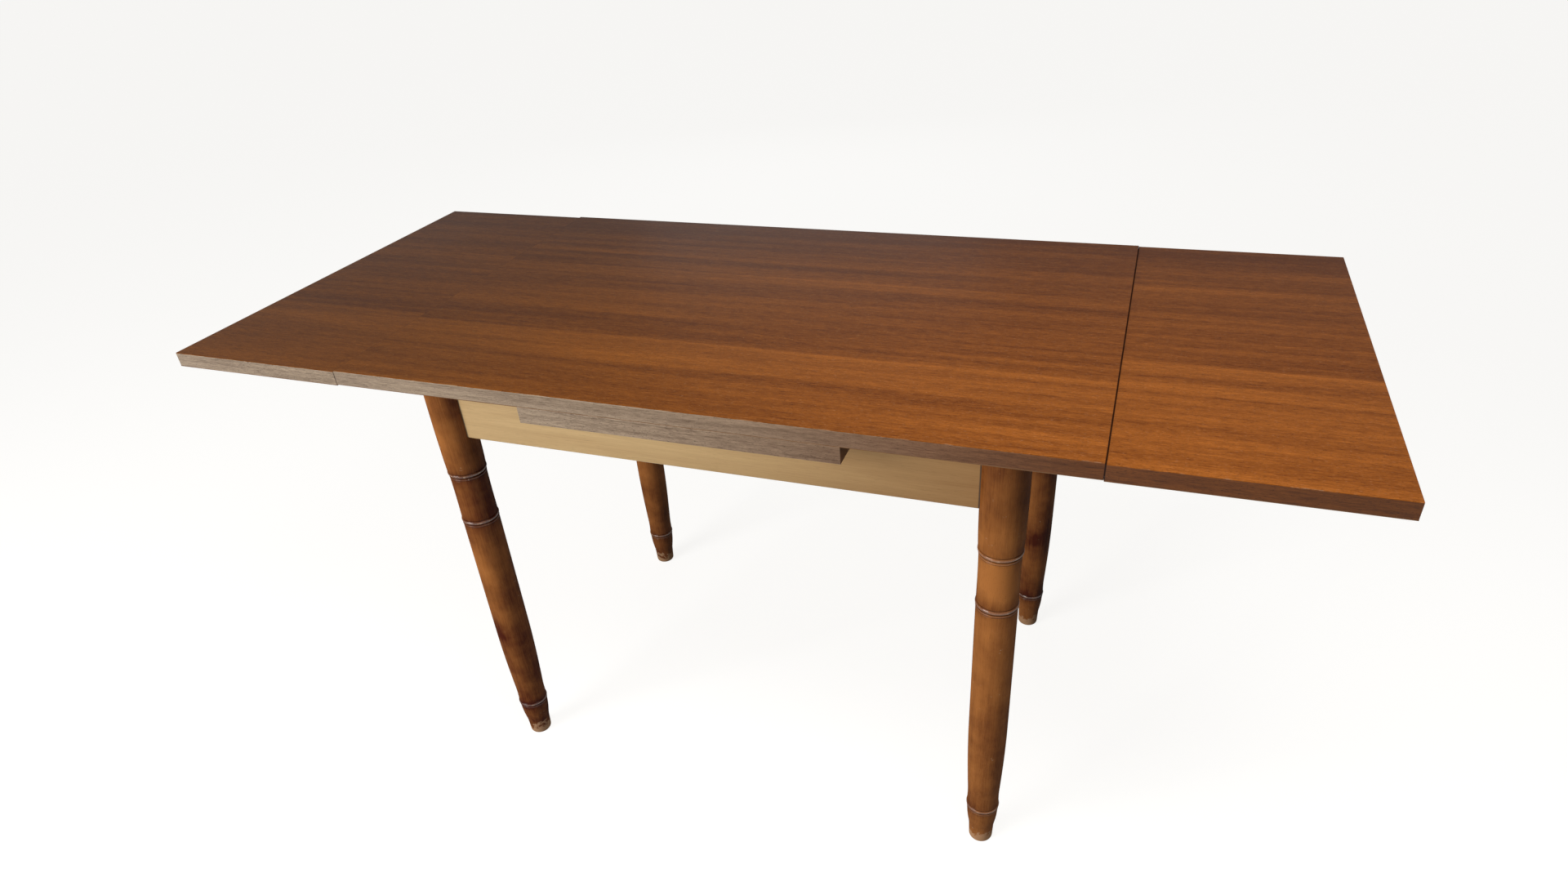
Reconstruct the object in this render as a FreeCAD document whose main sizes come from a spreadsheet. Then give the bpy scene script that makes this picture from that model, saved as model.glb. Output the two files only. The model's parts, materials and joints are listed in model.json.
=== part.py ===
import FreeCAD, Part
import math
import os
import Sketcher

# Extending dining table of the draw-leaf kind, with both leaves drawn out.
# A loose main top rests on a fixed centre board. Each leaf rides on two sloped
# bearers, which run through notches in the end apron and are held down by the
# centre board. +X runs along the table, +Y to its back and +Z up. The origin is
# on the floor, under the middle of the main top. All lengths are millimetres.

SIZES = (
    ("table_height", 765, "floor to the main top's upper face"),
    ("top_length", 1050, "main top along the table"),
    ("top_width", 700, "main top and leaves, front to back"),
    ("board_thick", 22, "main top and leaves"),
    ("laminate_thick", 0.9, "sheet on a board's upper and lower face"),
    ("edging_thick", 1, "strip on a board's edge"),
    ("centre_board_length", 450, "fixed board between the stowed leaves"),
    ("centre_board_thick", 24, "fixed board under the main top"),
    ("seam_gap", 0.3, "main top to drawn leaf"),
    ("leaf_step", 1.5, "drawn leaf below the main top"),
    ("stow_gap", 0.5, "stowed leaf to the centre board"),
    ("stow_clearance", 1, "stowed leaf to the main top above it"),
    ("overtravel", 12, "outward play of a drawn leaf before its stop pegs meet the cross rail"),
    ("top_lift", 30, "how far the main top lifts on its guide pegs"),
    ("end_overhang", 114, "main top's end to a leg's axis, along the table"),
    ("side_overhang", 81, "main top's edge to a leg's axis, front to back"),
    ("leg_top_radius", 30.8, "square under the frame's top"),
    ("leg_head_radius", 30.3, "middle of the leg's head"),
    ("leg_collar_radius", 29.4, "just above the upper ring"),
    ("leg_span_radius", 28.2, "beside the upper and the middle ring"),
    ("leg_waist_radius", 27.85, "halfway between the upper and the middle ring"),
    ("leg_shaft_radius", 28.3, "below the middle ring"),
    ("leg_taper_radius", 28.1, "where the taper starts"),
    ("leg_knee_radius", 27.6, "upper third of the taper"),
    ("leg_shin_radius", 26.7, "lower third of the taper"),
    ("leg_calf_radius", 25, "where the taper turns hollow"),
    ("leg_neck_radius", 23.8, "narrowest place over the lower ring"),
    ("leg_ankle_radius", 24.1, "at the lower ring"),
    ("foot_top_radius", 23.9, "just under the lower ring"),
    ("foot_belly_radius", 22.8, "middle of the foot"),
    ("foot_waist_radius", 20, "just above the foot's tip"),
    ("foot_tip_radius", 19.5, "upper edge of the foot's tip"),
    ("foot_end_radius", 18.3, "lower end of the foot's tip, before its rounding"),
    ("foot_rounding", 4.5, "round edge where the foot meets the floor"),
    ("collar_drop", 55, "frame's top to where the leg's head starts to narrow"),
    ("head_drop", 111, "frame's top to the middle of the leg's head"),
    ("upper_ring_drop", 148, "frame's top to the middle of the upper ring"),
    ("middle_ring_drop", 235, "frame's top to the middle of the middle ring"),
    ("taper_height", 238, "where the taper starts"),
    ("knee_height", 205, "upper third of the taper"),
    ("shin_height", 171, "lower third of the taper"),
    ("calf_height", 129, "where the taper turns hollow"),
    ("neck_height", 99, "narrowest place over the lower ring"),
    ("lower_ring_height", 78, "middle of the lower ring"),
    ("foot_belly_height", 54, "middle of the foot"),
    ("foot_waist_height", 34, "just above the foot's tip"),
    ("foot_tip_height", 31.5, "upper edge of the foot's tip"),
    ("ring_bead", 5, "height of a ring's bead"),
    ("ring_bead_rise", 1.1, "how far the bead stands out"),
    ("ring_groove", 2.2, "height of the groove on each side of a bead"),
    ("ring_groove_depth", 0.9, "depth of that groove"),
    ("apron_height", 84, "all four aprons"),
    ("apron_thick", 24, "all four aprons"),
    ("apron_arris", 2.5, "round lower edges of an apron"),
    ("housing_stop", 13.3, "leg's axis to the end of the apron let into it"),
    ("cross_rail_inset", 25, "centre board's end to a cross rail's middle"),
    ("cross_rail_thick", 22, "cross rail along the table"),
    ("cross_rail_height", 64, "cross rail, from its lower edge to the centre board"),
    ("notch_depth", 28.2, "bearer notch in an end apron"),
    ("left_bearer_inset", 54, "leg's axis to a left bearer, front to back"),
    ("right_bearer_inset", 99, "leg's axis to a right bearer, front to back"),
    ("bearer_width", 22, "bearer, front to back"),
    ("bearer_inset", 40, "leaf's outer edge to the bearer's end"),
    ("bearer_tail", 39, "cross rail to a drawn bearer's inner end"),
    ("slide_gap", 0.3, "between sliding faces"),
    ("notch_side_gap", 0.5, "between a bearer's side and its notch"),
    ("glue_gap", 0.1, "round a glued joint"),
    ("stop_peg_radius", 5, "dowel across a bearer's inner end"),
    ("stop_peg_length", 40, "dowel across a bearer's inner end"),
    ("corner_block_thick", 22, "block across a corner, through its thickness"),
    ("corner_block_height", 40, "block across a corner"),
    ("corner_block_base", 3, "apron's lower edge to the block's lower face"),
    ("corner_block_clearance", 2.2, "leg to the block"),
    ("block_screw_cover", 8, "wood between a block screw's head and the apron"),
    ("block_screw_bite", 12, "block screw in the apron"),
    ("guide_peg_y", 100, "middle of the table to a guide peg, front to back"),
    ("guide_peg_radius", 11, "peg under the main top"),
    ("guide_peg_seat", 12, "peg let into the main top"),
    ("guide_peg_gap", 0.5, "peg to its hole in the centre board"),
    ("guide_button_radius", 18, "button that keeps the main top from lifting off"),
    ("guide_button_thick", 8, "button that keeps the main top from lifting off"),
    ("guide_screw_bite", 22, "button screw in the peg"),
    ("dowel_radius", 4, "dowel between a cross rail and an apron"),
    ("dowel_bite", 14, "dowel in each of the two"),
    ("dowel_rise", 14, "cross rail's edge to a dowel"),
    ("board_screw_x", 110, "middle of the table to a centre board screw over an apron"),
    ("board_screw_y", 90, "middle of the table to a centre board screw over a cross rail"),
    ("board_screw_sink", 2, "screw head under the board's face"),
    ("board_screw_bite", 26, "board screw in the frame"),
    ("bearer_screw_inset", 36, "leaf's inner edge to the first bearer screw"),
    ("bearer_screw_spacing", 92, "from one bearer screw to the next"),
    ("bearer_screw_cover", 12, "wood between a bearer screw's head and the leaf"),
    ("bearer_screw_bite", 14, "bearer screw in the leaf"),
    ("screw_radius", 2.2, "every screw's shank"),
    ("screw_head_radius", 4.4, "every screw's head"),
    ("screw_head_thick", 2.4, "every screw's head"),
    ("drill_gap", 0.05, "round a screw, a dowel or a peg that is driven in"),
    ("overrun", 6, "how far a cut runs past the face that it opens"),
)
BEARER_SCREWS = 3
QUARTER_TURN = 90


class Term:
    """A length or a ratio: its formula over the sheet, and its present value."""

    def __init__(self, formula, value):
        self.formula = formula
        self.value = value

    def __add__(self, other):
        return Term(f"({self.formula} + {other.formula})", self.value + other.value)

    def __sub__(self, other):
        return Term(f"({self.formula} - {other.formula})", self.value - other.value)

    def __mul__(self, other):
        if isinstance(other, Term):
            return Term(f"({self.formula} * {other.formula})", self.value * other.value)
        return Term(f"({self.formula} * ({other}))", self.value * other)

    def __truediv__(self, other):
        if isinstance(other, Term):
            return Term(f"({self.formula} / {other.formula})", self.value / other.value)
        return Term(f"({self.formula} / {other})", self.value / other)

    def __neg__(self):
        return Term(f"(0 - {self.formula})", -self.value)


def root(term):
    """Square root of a term."""
    return Term(f"sqrt({term.formula})", math.sqrt(term.value))


ZERO = Term("0", 0.0)
X_AXIS = FreeCAD.Vector(1, 0, 0)
Y_AXIS = FreeCAD.Vector(0, 1, 0)
Z_AXIS = FreeCAD.Vector(0, 0, 1)

doc = FreeCAD.newDocument("extending_table")


# Sheet of driving sizes

def fill_sheet():
    """Puts every driving size in the sheet, with its name as the cell's alias."""
    sheet = doc.addObject("Spreadsheet::Sheet", "sizes")
    terms = {}
    for row, (alias, value, meaning) in enumerate(SIZES, start=1):
        sheet.set(f"A{row}", alias)
        sheet.set(f"B{row}", str(value))
        sheet.set(f"C{row}", meaning)
        sheet.setAlias(f"B{row}", alias)
        terms[alias] = Term(f"sizes.{alias}", float(value))
    doc.recompute()
    return terms


size = fill_sheet()

# Levels above the floor
top_face = size["table_height"]
top_underside = top_face - size["board_thick"]
frame_top = top_underside - size["centre_board_thick"]
apron_base = frame_top - size["apron_height"]
rail_base = frame_top - size["cross_rail_height"]
leaf_face = top_face - size["leaf_step"]
leaf_underside = leaf_face - size["board_thick"]
stowed_underside = top_underside - size["stow_clearance"] - size["board_thick"]
notch_floor = frame_top - size["notch_depth"]

# Lengths along the table
half_top = size["top_length"] / 2
half_centre = size["centre_board_length"] / 2
half_width = size["top_width"] / 2
leaf_length = half_top - half_centre
leaf_inner = half_top + size["seam_gap"]
leaf_outer = leaf_inner + leaf_length
leaf_travel = leaf_inner - half_centre - size["stow_gap"]
leaf_drop = leaf_underside - stowed_underside
bearer_slope = leaf_drop / leaf_travel

# Frame, measured from the middle of the table
leg_x = half_top - size["end_overhang"]
leg_y = half_width - size["side_overhang"]
half_apron = size["apron_thick"] / 2
end_apron_inner = leg_x - half_apron
side_apron_inner = leg_y - half_apron
rail_x = half_centre - size["cross_rail_inset"]
rail_inner = rail_x - size["cross_rail_thick"] / 2
rail_outer = rail_x + size["cross_rail_thick"] / 2
left_bearer_y = leg_y - size["left_bearer_inset"]
right_bearer_y = leg_y - size["right_bearer_inset"]


def bearer_base(x):
    """Height of a bearer's sloped lower edge: it rests on the notch's inner edge."""
    return notch_floor + size["slide_gap"] + bearer_slope * (x - end_apron_inner)


def bearer_crest(x):
    """Height of a bearer's sloped upper edge: it passes under the centre board's end."""
    return frame_top - size["slide_gap"] + bearer_slope * (x - half_centre)


# Tools for making solids

def bind(thing, **terms):
    """Binds properties of a document object to terms."""
    for name, term in terms.items():
        thing.setExpression(name, term.formula)


def put(thing, x, y, z):
    """Binds the place of a document object to three terms."""
    thing.setExpression("Placement.Base.x", x.formula)
    thing.setExpression("Placement.Base.y", y.formula)
    thing.setExpression("Placement.Base.z", z.formula)


def slab(name, x, y, z):
    """Box between the low and the high term of each of its three ranges."""
    box = doc.addObject("Part::Box", name)
    bind(box, Length=x[1] - x[0], Width=y[1] - y[0], Height=z[1] - z[0])
    put(box, x[0], y[0], z[0])
    return box


def rod(name, radius, length, direction, x, y, z):
    """Cylinder that starts at a place and runs along a direction."""
    cylinder = doc.addObject("Part::Cylinder", name)
    cylinder.Placement.Rotation = FreeCAD.Rotation(Z_AXIS, direction)
    bind(cylinder, Radius=radius, Height=length)
    put(cylinder, x, y, z)
    return cylinder


def group(name, solids):
    """Several separate solids as one object."""
    if len(solids) == 1:
        return solids[0]
    compound = doc.addObject("Part::Compound", name)
    compound.Links = solids
    return compound


def cut(name, base, tools):
    """Base with every tool cut out of it."""
    result = doc.addObject("Part::Cut", name)
    result.Base = base
    result.Tool = group(name + "_cutters", tools)
    return result


def fuse(name, first, second):
    """Two solids as one."""
    result = doc.addObject("Part::Fuse", name)
    result.Base = first
    result.Tool = second
    return result


def span(middle, width):
    """Low and high term of a range about its middle."""
    return middle - width / 2, middle + width / 2


def widen(limits, gap):
    """A range made larger by a gap at both ends."""
    return limits[0] - gap, limits[1] + gap


def mirrored(side, low, high):
    """The same range on the right (1) or the left (-1) of the table's middle."""
    return (low, high) if side > 0 else (-high, -low)


# Screws: a shank with a flat head, and the drilled seat that takes it

def along(direction, x, y, z, distance):
    """Place at a distance from x, y, z along a direction."""
    return (x + distance * direction.x, y + distance * direction.y, z + distance * direction.z)


def screw(name, direction, x, y, z, length):
    """Screw whose head starts at a place and whose point is length further on."""
    shank = rod(name + "_shank", size["screw_radius"], length, direction, x, y, z)
    head = rod(name + "_head", size["screw_head_radius"], size["screw_head_thick"], direction, x, y, z)
    return fuse(name, shank, head)


def screw_seat(name, direction, x, y, z, length, mouth):
    """Hole for the screw at that place, open towards its head over the length of its mouth."""
    gap = size["drill_gap"]
    shank = rod(name + "_bore", size["screw_radius"] + gap, length + gap, direction, x, y, z)
    back = along(direction, x, y, z, -mouth)
    head_room = rod(name + "_mouth", size["screw_head_radius"] + gap,
                    mouth + size["screw_head_thick"], direction, *back)
    return fuse(name, shank, head_room)


def driven(name, places, direction, length, mouth):
    """Screws at a list of places, and a function that makes a host's seats for them."""
    screws = [screw(f"{name}_{i}", direction, *place, length) for i, place in enumerate(places)]

    def seats(host, chosen=places):
        return [screw_seat(f"{host}_{name}_seat_{i}", direction, *place, length, mouth)
                for i, place in enumerate(chosen)]

    return screws, seats


# Sketches

def plane_of(body, role):
    """The body's own origin plane of that role."""
    return next(plane for plane in body.Origin.OriginFeatures if plane.Role == role)


# Numbers of an outline's axes and origin, and of the points of its pieces
HORIZONTAL_AXIS, VERTICAL_AXIS = range(-1, -3, -1)
ORIGIN = HORIZONTAL_AXIS
START_POINT, END_POINT, CENTRE_POINT = range(1, 4)


def pin(sketch, kind, axis, piece, point, term):
    """Fixes how far a point of a sketch piece lies from an axis."""
    if term is ZERO:
        sketch.addConstraint(Sketcher.Constraint("PointOnObject", piece, point, axis))
        return
    index = sketch.addConstraint(
        Sketcher.Constraint(kind, ORIGIN, START_POINT, piece, point, term.value))
    sketch.setExpression(f"Constraints[{index}]", term.formula)


def pin_across(sketch, piece, point, x):
    """Fixes a point's distance from the outline's vertical axis."""
    pin(sketch, "DistanceX", VERTICAL_AXIS, piece, point, x)


def pin_up(sketch, piece, point, y):
    """Fixes a point's distance from the outline's horizontal axis."""
    pin(sketch, "DistanceY", HORIZONTAL_AXIS, piece, point, y)


def arc_centre(start, end, rise):
    """Centre of the arc from start to end that stands out to the right by its rise."""
    run_x, run_y = end[0] - start[0], end[1] - start[1]
    square = run_x * run_x + run_y * run_y
    offset = (rise * rise * 4 - square) / (rise * 8) / root(square)
    return (start[0] + end[0]) / 2 + run_y * offset, (start[1] + end[1]) / 2 - run_x * offset


def point_at(place):
    """Present place of an outline's point."""
    return FreeCAD.Vector(place[0].value, place[1].value, 0)


def arc_about(centre, first, last):
    """Arc that turns to the left about its centre, from the first point to the last."""
    middle = point_at(centre)
    spokes = [point_at(place) - middle for place in (first, last)]
    circle = Part.Circle(middle, Z_AXIS, spokes[0].Length)
    return Part.ArcOfCircle(circle, *[math.atan2(spoke.y, spoke.x) for spoke in spokes])


def trace(sketch, corners):
    """Closed outline. A corner is x, y and the rise of the arc to the next one, or None."""
    pieces = []
    for i, corner in enumerate(corners):
        rise, following = corner[2], corners[(i + 1) % len(corners)]
        if rise is None:
            line = Part.LineSegment(point_at(corner), point_at(following))
            pieces.append((sketch.addGeometry(line, False), START_POINT, END_POINT))
            continue
        centre = arc_centre(corner, following, rise)
        bulges = rise.value > 0
        arc = arc_about(centre, corner, following) if bulges else arc_about(centre, following, corner)
        piece = sketch.addGeometry(arc, False)
        pieces.append((piece, START_POINT, END_POINT) if bulges else (piece, END_POINT, START_POINT))
        pin_across(sketch, piece, CENTRE_POINT, centre[0])
    for i, (x, y, rise) in enumerate(corners):
        piece, start, end = pieces[i]
        next_piece, next_start, next_end = pieces[(i + 1) % len(corners)]
        pin_across(sketch, piece, start, x)
        pin_up(sketch, piece, start, y)
        sketch.addConstraint(Sketcher.Constraint("Coincident", piece, end, next_piece, next_start))


def sketched(name, role, corners):
    """A body with a closed sketch on one of its origin planes."""
    body = doc.addObject("PartDesign::Body", name)
    sketch = body.newObject("Sketcher::SketchObject", name + "_outline")
    sketch.AttachmentSupport = [(plane_of(body, role), "")]
    sketch.MapMode = "FlatFace"
    trace(sketch, corners)
    doc.recompute()
    return body, sketch


def padded(name, role, corners, length, middle=False):
    """Prism over an outline, from its plane or to both sides of it."""
    body, sketch = sketched(name, role, corners)
    pad = body.newObject("PartDesign::Pad", name + "_pad")
    pad.Profile = sketch
    if middle:
        pad.SideType = "Symmetric"
    bind(pad, Length=length)
    return body


def turned(name, corners):
    """Solid of revolution about Z of an outline of radius and height."""
    body, sketch = sketched(name, "XZ_Plane", corners)
    turning = body.newObject("PartDesign::Revolution", name + "_turning")
    turning.Profile = sketch
    turning.ReferenceAxis = (sketch, ["V_Axis"])
    turning.Angle = 360
    return body


nodes = {}


def keep(label, thing):
    """Names a finished sub-part."""
    thing.Label = label
    nodes[label] = thing
    return thing


# Corners of the frame, in the order in which a corner turns about the table
CORNERS = (("front_left", -1, -1), ("front_right", 1, -1), ("back_right", 1, 1), ("back_left", -1, 1))
SIDES = (("left", -1), ("right", 1))
FRONT_BACK = (("front", -1), ("back", 1))


# Legs

def ring(height, below, above):
    """Points of a ring on a leg's outline: groove, bead, groove."""
    half_bead = size["ring_bead"] / 2
    groove = -size["ring_groove_depth"]
    middle = (below + above) / 2
    return [
        (below, height - half_bead - size["ring_groove"], groove),
        (middle, height - half_bead, size["ring_bead_rise"]),
        (middle, height + half_bead, groove),
    ]


def ring_end(height):
    """Height at which a ring's upper groove ends."""
    return height + size["ring_bead"] / 2 + size["ring_groove"]


def leg_outline():
    """Half section of a leg, from the floor up: radius, height, rise of the next stretch."""
    quarter_rise_share = 1 - math.cos(math.pi / 4)
    rounding = size["foot_rounding"]
    lower = size["lower_ring_height"]
    middle = frame_top - size["middle_ring_drop"]
    upper = frame_top - size["upper_ring_drop"]
    corners = [
        (ZERO, ZERO, None),
        (size["foot_end_radius"] - rounding, ZERO, rounding * quarter_rise_share),
        (size["foot_end_radius"], rounding, None),
        (size["foot_tip_radius"], size["foot_tip_height"], None),
        (size["foot_waist_radius"], size["foot_waist_height"], None),
        (size["foot_belly_radius"], size["foot_belly_height"], None),
    ]
    corners += ring(lower, size["foot_top_radius"], size["leg_ankle_radius"])
    corners += [
        (size["leg_ankle_radius"], ring_end(lower), None),
        (size["leg_neck_radius"], size["neck_height"], None),
        (size["leg_calf_radius"], size["calf_height"], None),
        (size["leg_shin_radius"], size["shin_height"], None),
        (size["leg_knee_radius"], size["knee_height"], None),
        (size["leg_taper_radius"], size["taper_height"], None),
    ]
    corners += ring(middle, size["leg_shaft_radius"], size["leg_span_radius"])
    corners += [
        (size["leg_span_radius"], ring_end(middle), None),
        (size["leg_waist_radius"], (middle + upper) / 2, None),
    ]
    corners += ring(upper, size["leg_span_radius"], size["leg_collar_radius"])
    corners += [
        (size["leg_collar_radius"], ring_end(upper), None),
        (size["leg_head_radius"], frame_top - size["head_drop"], None),
        (size["leg_top_radius"], frame_top - size["collar_drop"], None),
        (size["leg_top_radius"], frame_top, None),
        (ZERO, frame_top, None),
    ]
    return corners


def housing(name, x, y):
    """Room for an apron's end in a leg, a glue gap larger than the apron, open at the top."""
    gap = size["glue_gap"]
    return slab(name, widen(x, gap), widen(y, gap), (apron_base - gap, frame_top + size["overrun"]))


apron_end_x = leg_x - size["housing_stop"]
apron_end_y = leg_y - size["housing_stop"]


def make_legs():
    """Four legs, each with housings for the two aprons that meet in it."""
    for turn, (corner, x_side, y_side) in enumerate(CORNERS):
        blank = turned(f"{corner}_leg_blank", leg_outline())
        x = leg_x * x_side
        y = leg_y * y_side
        blank.Placement.Rotation = FreeCAD.Rotation(Z_AXIS, turn * QUARTER_TURN)
        put(blank, x, y, ZERO)
        apron_faces_x = span(x, size["apron_thick"])
        apron_faces_y = span(y, size["apron_thick"])
        long_run = mirrored(x_side, ZERO, apron_end_x)
        short_run = mirrored(y_side, ZERO, apron_end_y)
        housings = [
            housing(f"{corner}_side_housing", long_run, apron_faces_y),
            housing(f"{corner}_end_housing", apron_faces_x, short_run),
        ]
        keep(f"{corner}_leg", cut(f"{corner}_leg_housed", blank, housings))


# Aprons, cross rails and what joins them

def apron_blank(name, length):
    """Straight apron along X from its own origin, with round lower edges."""
    arris = size["apron_arris"]
    thick, tall = size["apron_thick"], size["apron_height"]
    arris_rise = arris * (1 - math.cos(math.pi / 4))
    corners = [
        (arris, ZERO, None),
        (thick - arris, ZERO, arris_rise),
        (thick, arris, None),
        (thick, tall, None),
        (ZERO, tall, None),
        (ZERO, arris, arris_rise),
    ]
    return padded(name, "YZ_Plane", corners, length)


def bearer_notch(name, x, middle, floor):
    """Open-topped notch for a bearer through a rail that spans x."""
    y = span(middle, size["bearer_width"] + size["notch_side_gap"] * 2)
    return slab(name, widen(x, size["overrun"]), y, (floor, frame_top + size["overrun"]))


def bearer_rows(side):
    """The two places front to back at which a side's bearers run."""
    offset = left_bearer_y if side < 0 else right_bearer_y
    return [(row, offset * sign) for row, sign in FRONT_BACK]


def dowel_places(side, y_side):
    """Places of the two dowels at one end of a cross rail: the start of each."""
    x = rail_x * side
    y = side_apron_inner * y_side - size["dowel_bite"]
    return [(x, y, rail_base + size["dowel_rise"]), (x, y, frame_top - size["dowel_rise"])]


def dowels(name, side, y_side, gap):
    """Dowels at one end of a cross rail, or their holes when a gap is given."""
    length = size["dowel_bite"] * 2
    return [rod(f"{name}_{i}", size["dowel_radius"] + gap, length + gap * 2, Y_AXIS, x, y - gap, z)
            for i, (x, y, z) in enumerate(dowel_places(side, y_side))]


def board_screw_places():
    """Places of the screws that hold the centre board: their heads' upper faces."""
    z = top_underside - size["board_screw_sink"]
    over_aprons = [(size["board_screw_x"] * i, leg_y * j, z) for i in (-1, 1) for j in (-1, 1)]
    over_rails = [(rail_x * i, size["board_screw_y"] * j, z)
                  for i in (-1, 1) for j in (-1, 1)]
    return over_aprons, over_rails


def block_screw_places(turn, x_side, y_side):
    """Two screws of a corner block, one into each apron, with their directions."""
    across = (block_outer + block_inner) / 2
    depth = half_apron + size["block_screw_cover"]
    z = apron_base + size["corner_block_base"] + size["corner_block_height"] / 2
    x_corner, y_corner = leg_x * x_side, leg_y * y_side
    into_side = (x_corner - across * x_side, y_corner - depth * y_side, z)
    into_end = (x_corner - depth * x_side, y_corner - across * y_side, z)
    return (into_side, Y_AXIS * y_side), (into_end, X_AXIS * x_side)


# Reach of a corner block along each apron, measured from the leg's axis
block_face = size["leg_top_radius"] + size["corner_block_clearance"]
block_outer = block_face * math.sqrt(2) - half_apron
block_inner = (block_face + size["corner_block_thick"]) * math.sqrt(2) - half_apron
block_screw_length = size["block_screw_cover"] + size["block_screw_bite"]
board_screw_length = size["centre_board_thick"] - size["board_screw_sink"] + size["board_screw_bite"]


def make_corner_blocks():
    """A block across each corner behind its leg, and the screws into both aprons."""
    screws, seats = [], {}
    for turn, (corner, x_side, y_side) in enumerate(CORNERS):
        outline = [
            (block_outer, half_apron, None),
            (block_inner, half_apron, None),
            (half_apron, block_inner, None),
            (half_apron, block_outer, None),
        ]
        blank = padded(f"{corner}_block_blank", "XY_Plane", outline, size["corner_block_height"])
        blank.Placement.Rotation = FreeCAD.Rotation(Z_AXIS, turn * QUARTER_TURN)
        put(blank, leg_x * x_side, leg_y * y_side, apron_base + size["corner_block_base"])
        own_seats = []
        for way, (place, direction) in zip(("side", "end"), block_screw_places(turn, x_side, y_side)):
            name = f"{corner}_{way}_block_screw"
            screws.append(screw(name, direction, *place, block_screw_length))
            own_seats.append(screw_seat(name + "_hole", direction, *place,
                                        block_screw_length, block_inner))
            seats.setdefault((way, x_side if way == "end" else y_side), []).append(own_seats[-1])
        keep(f"{corner}_corner_block", cut(f"{corner}_block_drilled", blank, own_seats))
    keep("corner_block_screws", group("corner_block_screw_group", screws))
    return seats


def make_aprons(block_seats, board_seats):
    """Front, back and end aprons, drilled for screws and dowels and notched for bearers."""
    for row, y_side in FRONT_BACK:
        blank = apron_blank(f"{row}_apron_blank", apron_end_x * 2)
        put(blank, -apron_end_x, leg_y * y_side - half_apron, apron_base)
        holes = list(block_seats["side", y_side]) + list(board_seats[y_side])
        for side, x_side in SIDES:
            holes += dowels(f"{row}_apron_{side}_dowel_hole", x_side, y_side, size["drill_gap"])
        keep(f"{row}_apron", cut(f"{row}_apron_drilled", blank, holes))
    for side, x_side in SIDES:
        blank = apron_blank(f"{side}_end_apron_blank", apron_end_y * 2)
        blank.Placement.Rotation = FreeCAD.Rotation(Z_AXIS, QUARTER_TURN)
        put(blank, leg_x * x_side + half_apron, -apron_end_y, apron_base)
        faces = span(leg_x * x_side, size["apron_thick"])
        holes = list(block_seats["end", x_side])
        holes += [bearer_notch(f"{side}_end_{row}_notch", faces, y, notch_floor)
                  for row, y in bearer_rows(x_side)]
        keep(f"{side}_end_apron", cut(f"{side}_end_apron_notched", blank, holes))


def make_cross_rails(board_seats):
    """Two rails between front and back apron that guide the bearers' inner ends."""
    all_dowels = []
    rail_notch_floor = bearer_base(rail_inner) - size["slide_gap"]
    for side, x_side in SIDES:
        x = mirrored(x_side, rail_inner, rail_outer)
        y = (-side_apron_inner, side_apron_inner)
        blank = slab(f"{side}_cross_rail_blank", x, y, (rail_base, frame_top))
        holes = [bearer_notch(f"{side}_rail_{row}_notch", x, y_place, rail_notch_floor)
                 for row, y_place in bearer_rows(x_side)]
        holes += board_seats[x_side]
        for row, y_side in FRONT_BACK:
            all_dowels += dowels(f"{side}_{row}_dowel", x_side, y_side, ZERO)
            holes += dowels(f"{side}_rail_{row}_dowel_hole", x_side, y_side, size["drill_gap"])
        keep(f"{side}_cross_rail", cut(f"{side}_cross_rail_notched", blank, holes))
    keep("cross_rail_dowels", group("cross_rail_dowel_group", all_dowels))


# Boards

def edging(label, x, y, z):
    """Strip on a board's edge."""
    keep(label, slab(label + "_strip", x, y, z))


def make_centre_board():
    """Fixed board on the frame: its core, the front and back edging and its screws."""
    over_aprons, over_rails = board_screw_places()
    core_faces = (-half_width + size["edging_thick"], half_width - size["edging_thick"])
    x = (-half_centre, half_centre)
    z = (frame_top, top_underside)
    down = -Z_AXIS
    screws, seats = driven("board_screw", over_aprons + over_rails, down,
                           board_screw_length, size["overrun"])
    peg_holes = [rod(f"{row}_peg_hole", size["guide_peg_radius"] + size["guide_peg_gap"],
                     size["centre_board_thick"] + size["overrun"] * 2, Z_AXIS,
                     ZERO, size["guide_peg_y"] * y_side, frame_top - size["overrun"])
                 for row, y_side in FRONT_BACK]
    blank = slab("centre_board_blank", x, core_faces, z)
    keep("centre_board", cut("centre_board_drilled", blank, seats("centre_board") + peg_holes))
    edging("centre_board_front_edging", x, (-half_width, core_faces[0]), z)
    edging("centre_board_back_edging", x, (core_faces[1], half_width), z)
    keep("centre_board_screws", group("centre_board_screw_group", screws))
    apron_seats = {y_side: seats(f"{row}_apron", [place for place in over_aprons
                                                  if place[1].value * y_side > 0])
                   for row, y_side in FRONT_BACK}
    rail_seats = {x_side: seats(f"{side}_rail", [place for place in over_rails
                                                 if place[0].value * x_side > 0])
                  for side, x_side in SIDES}
    return apron_seats, rail_seats


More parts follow.
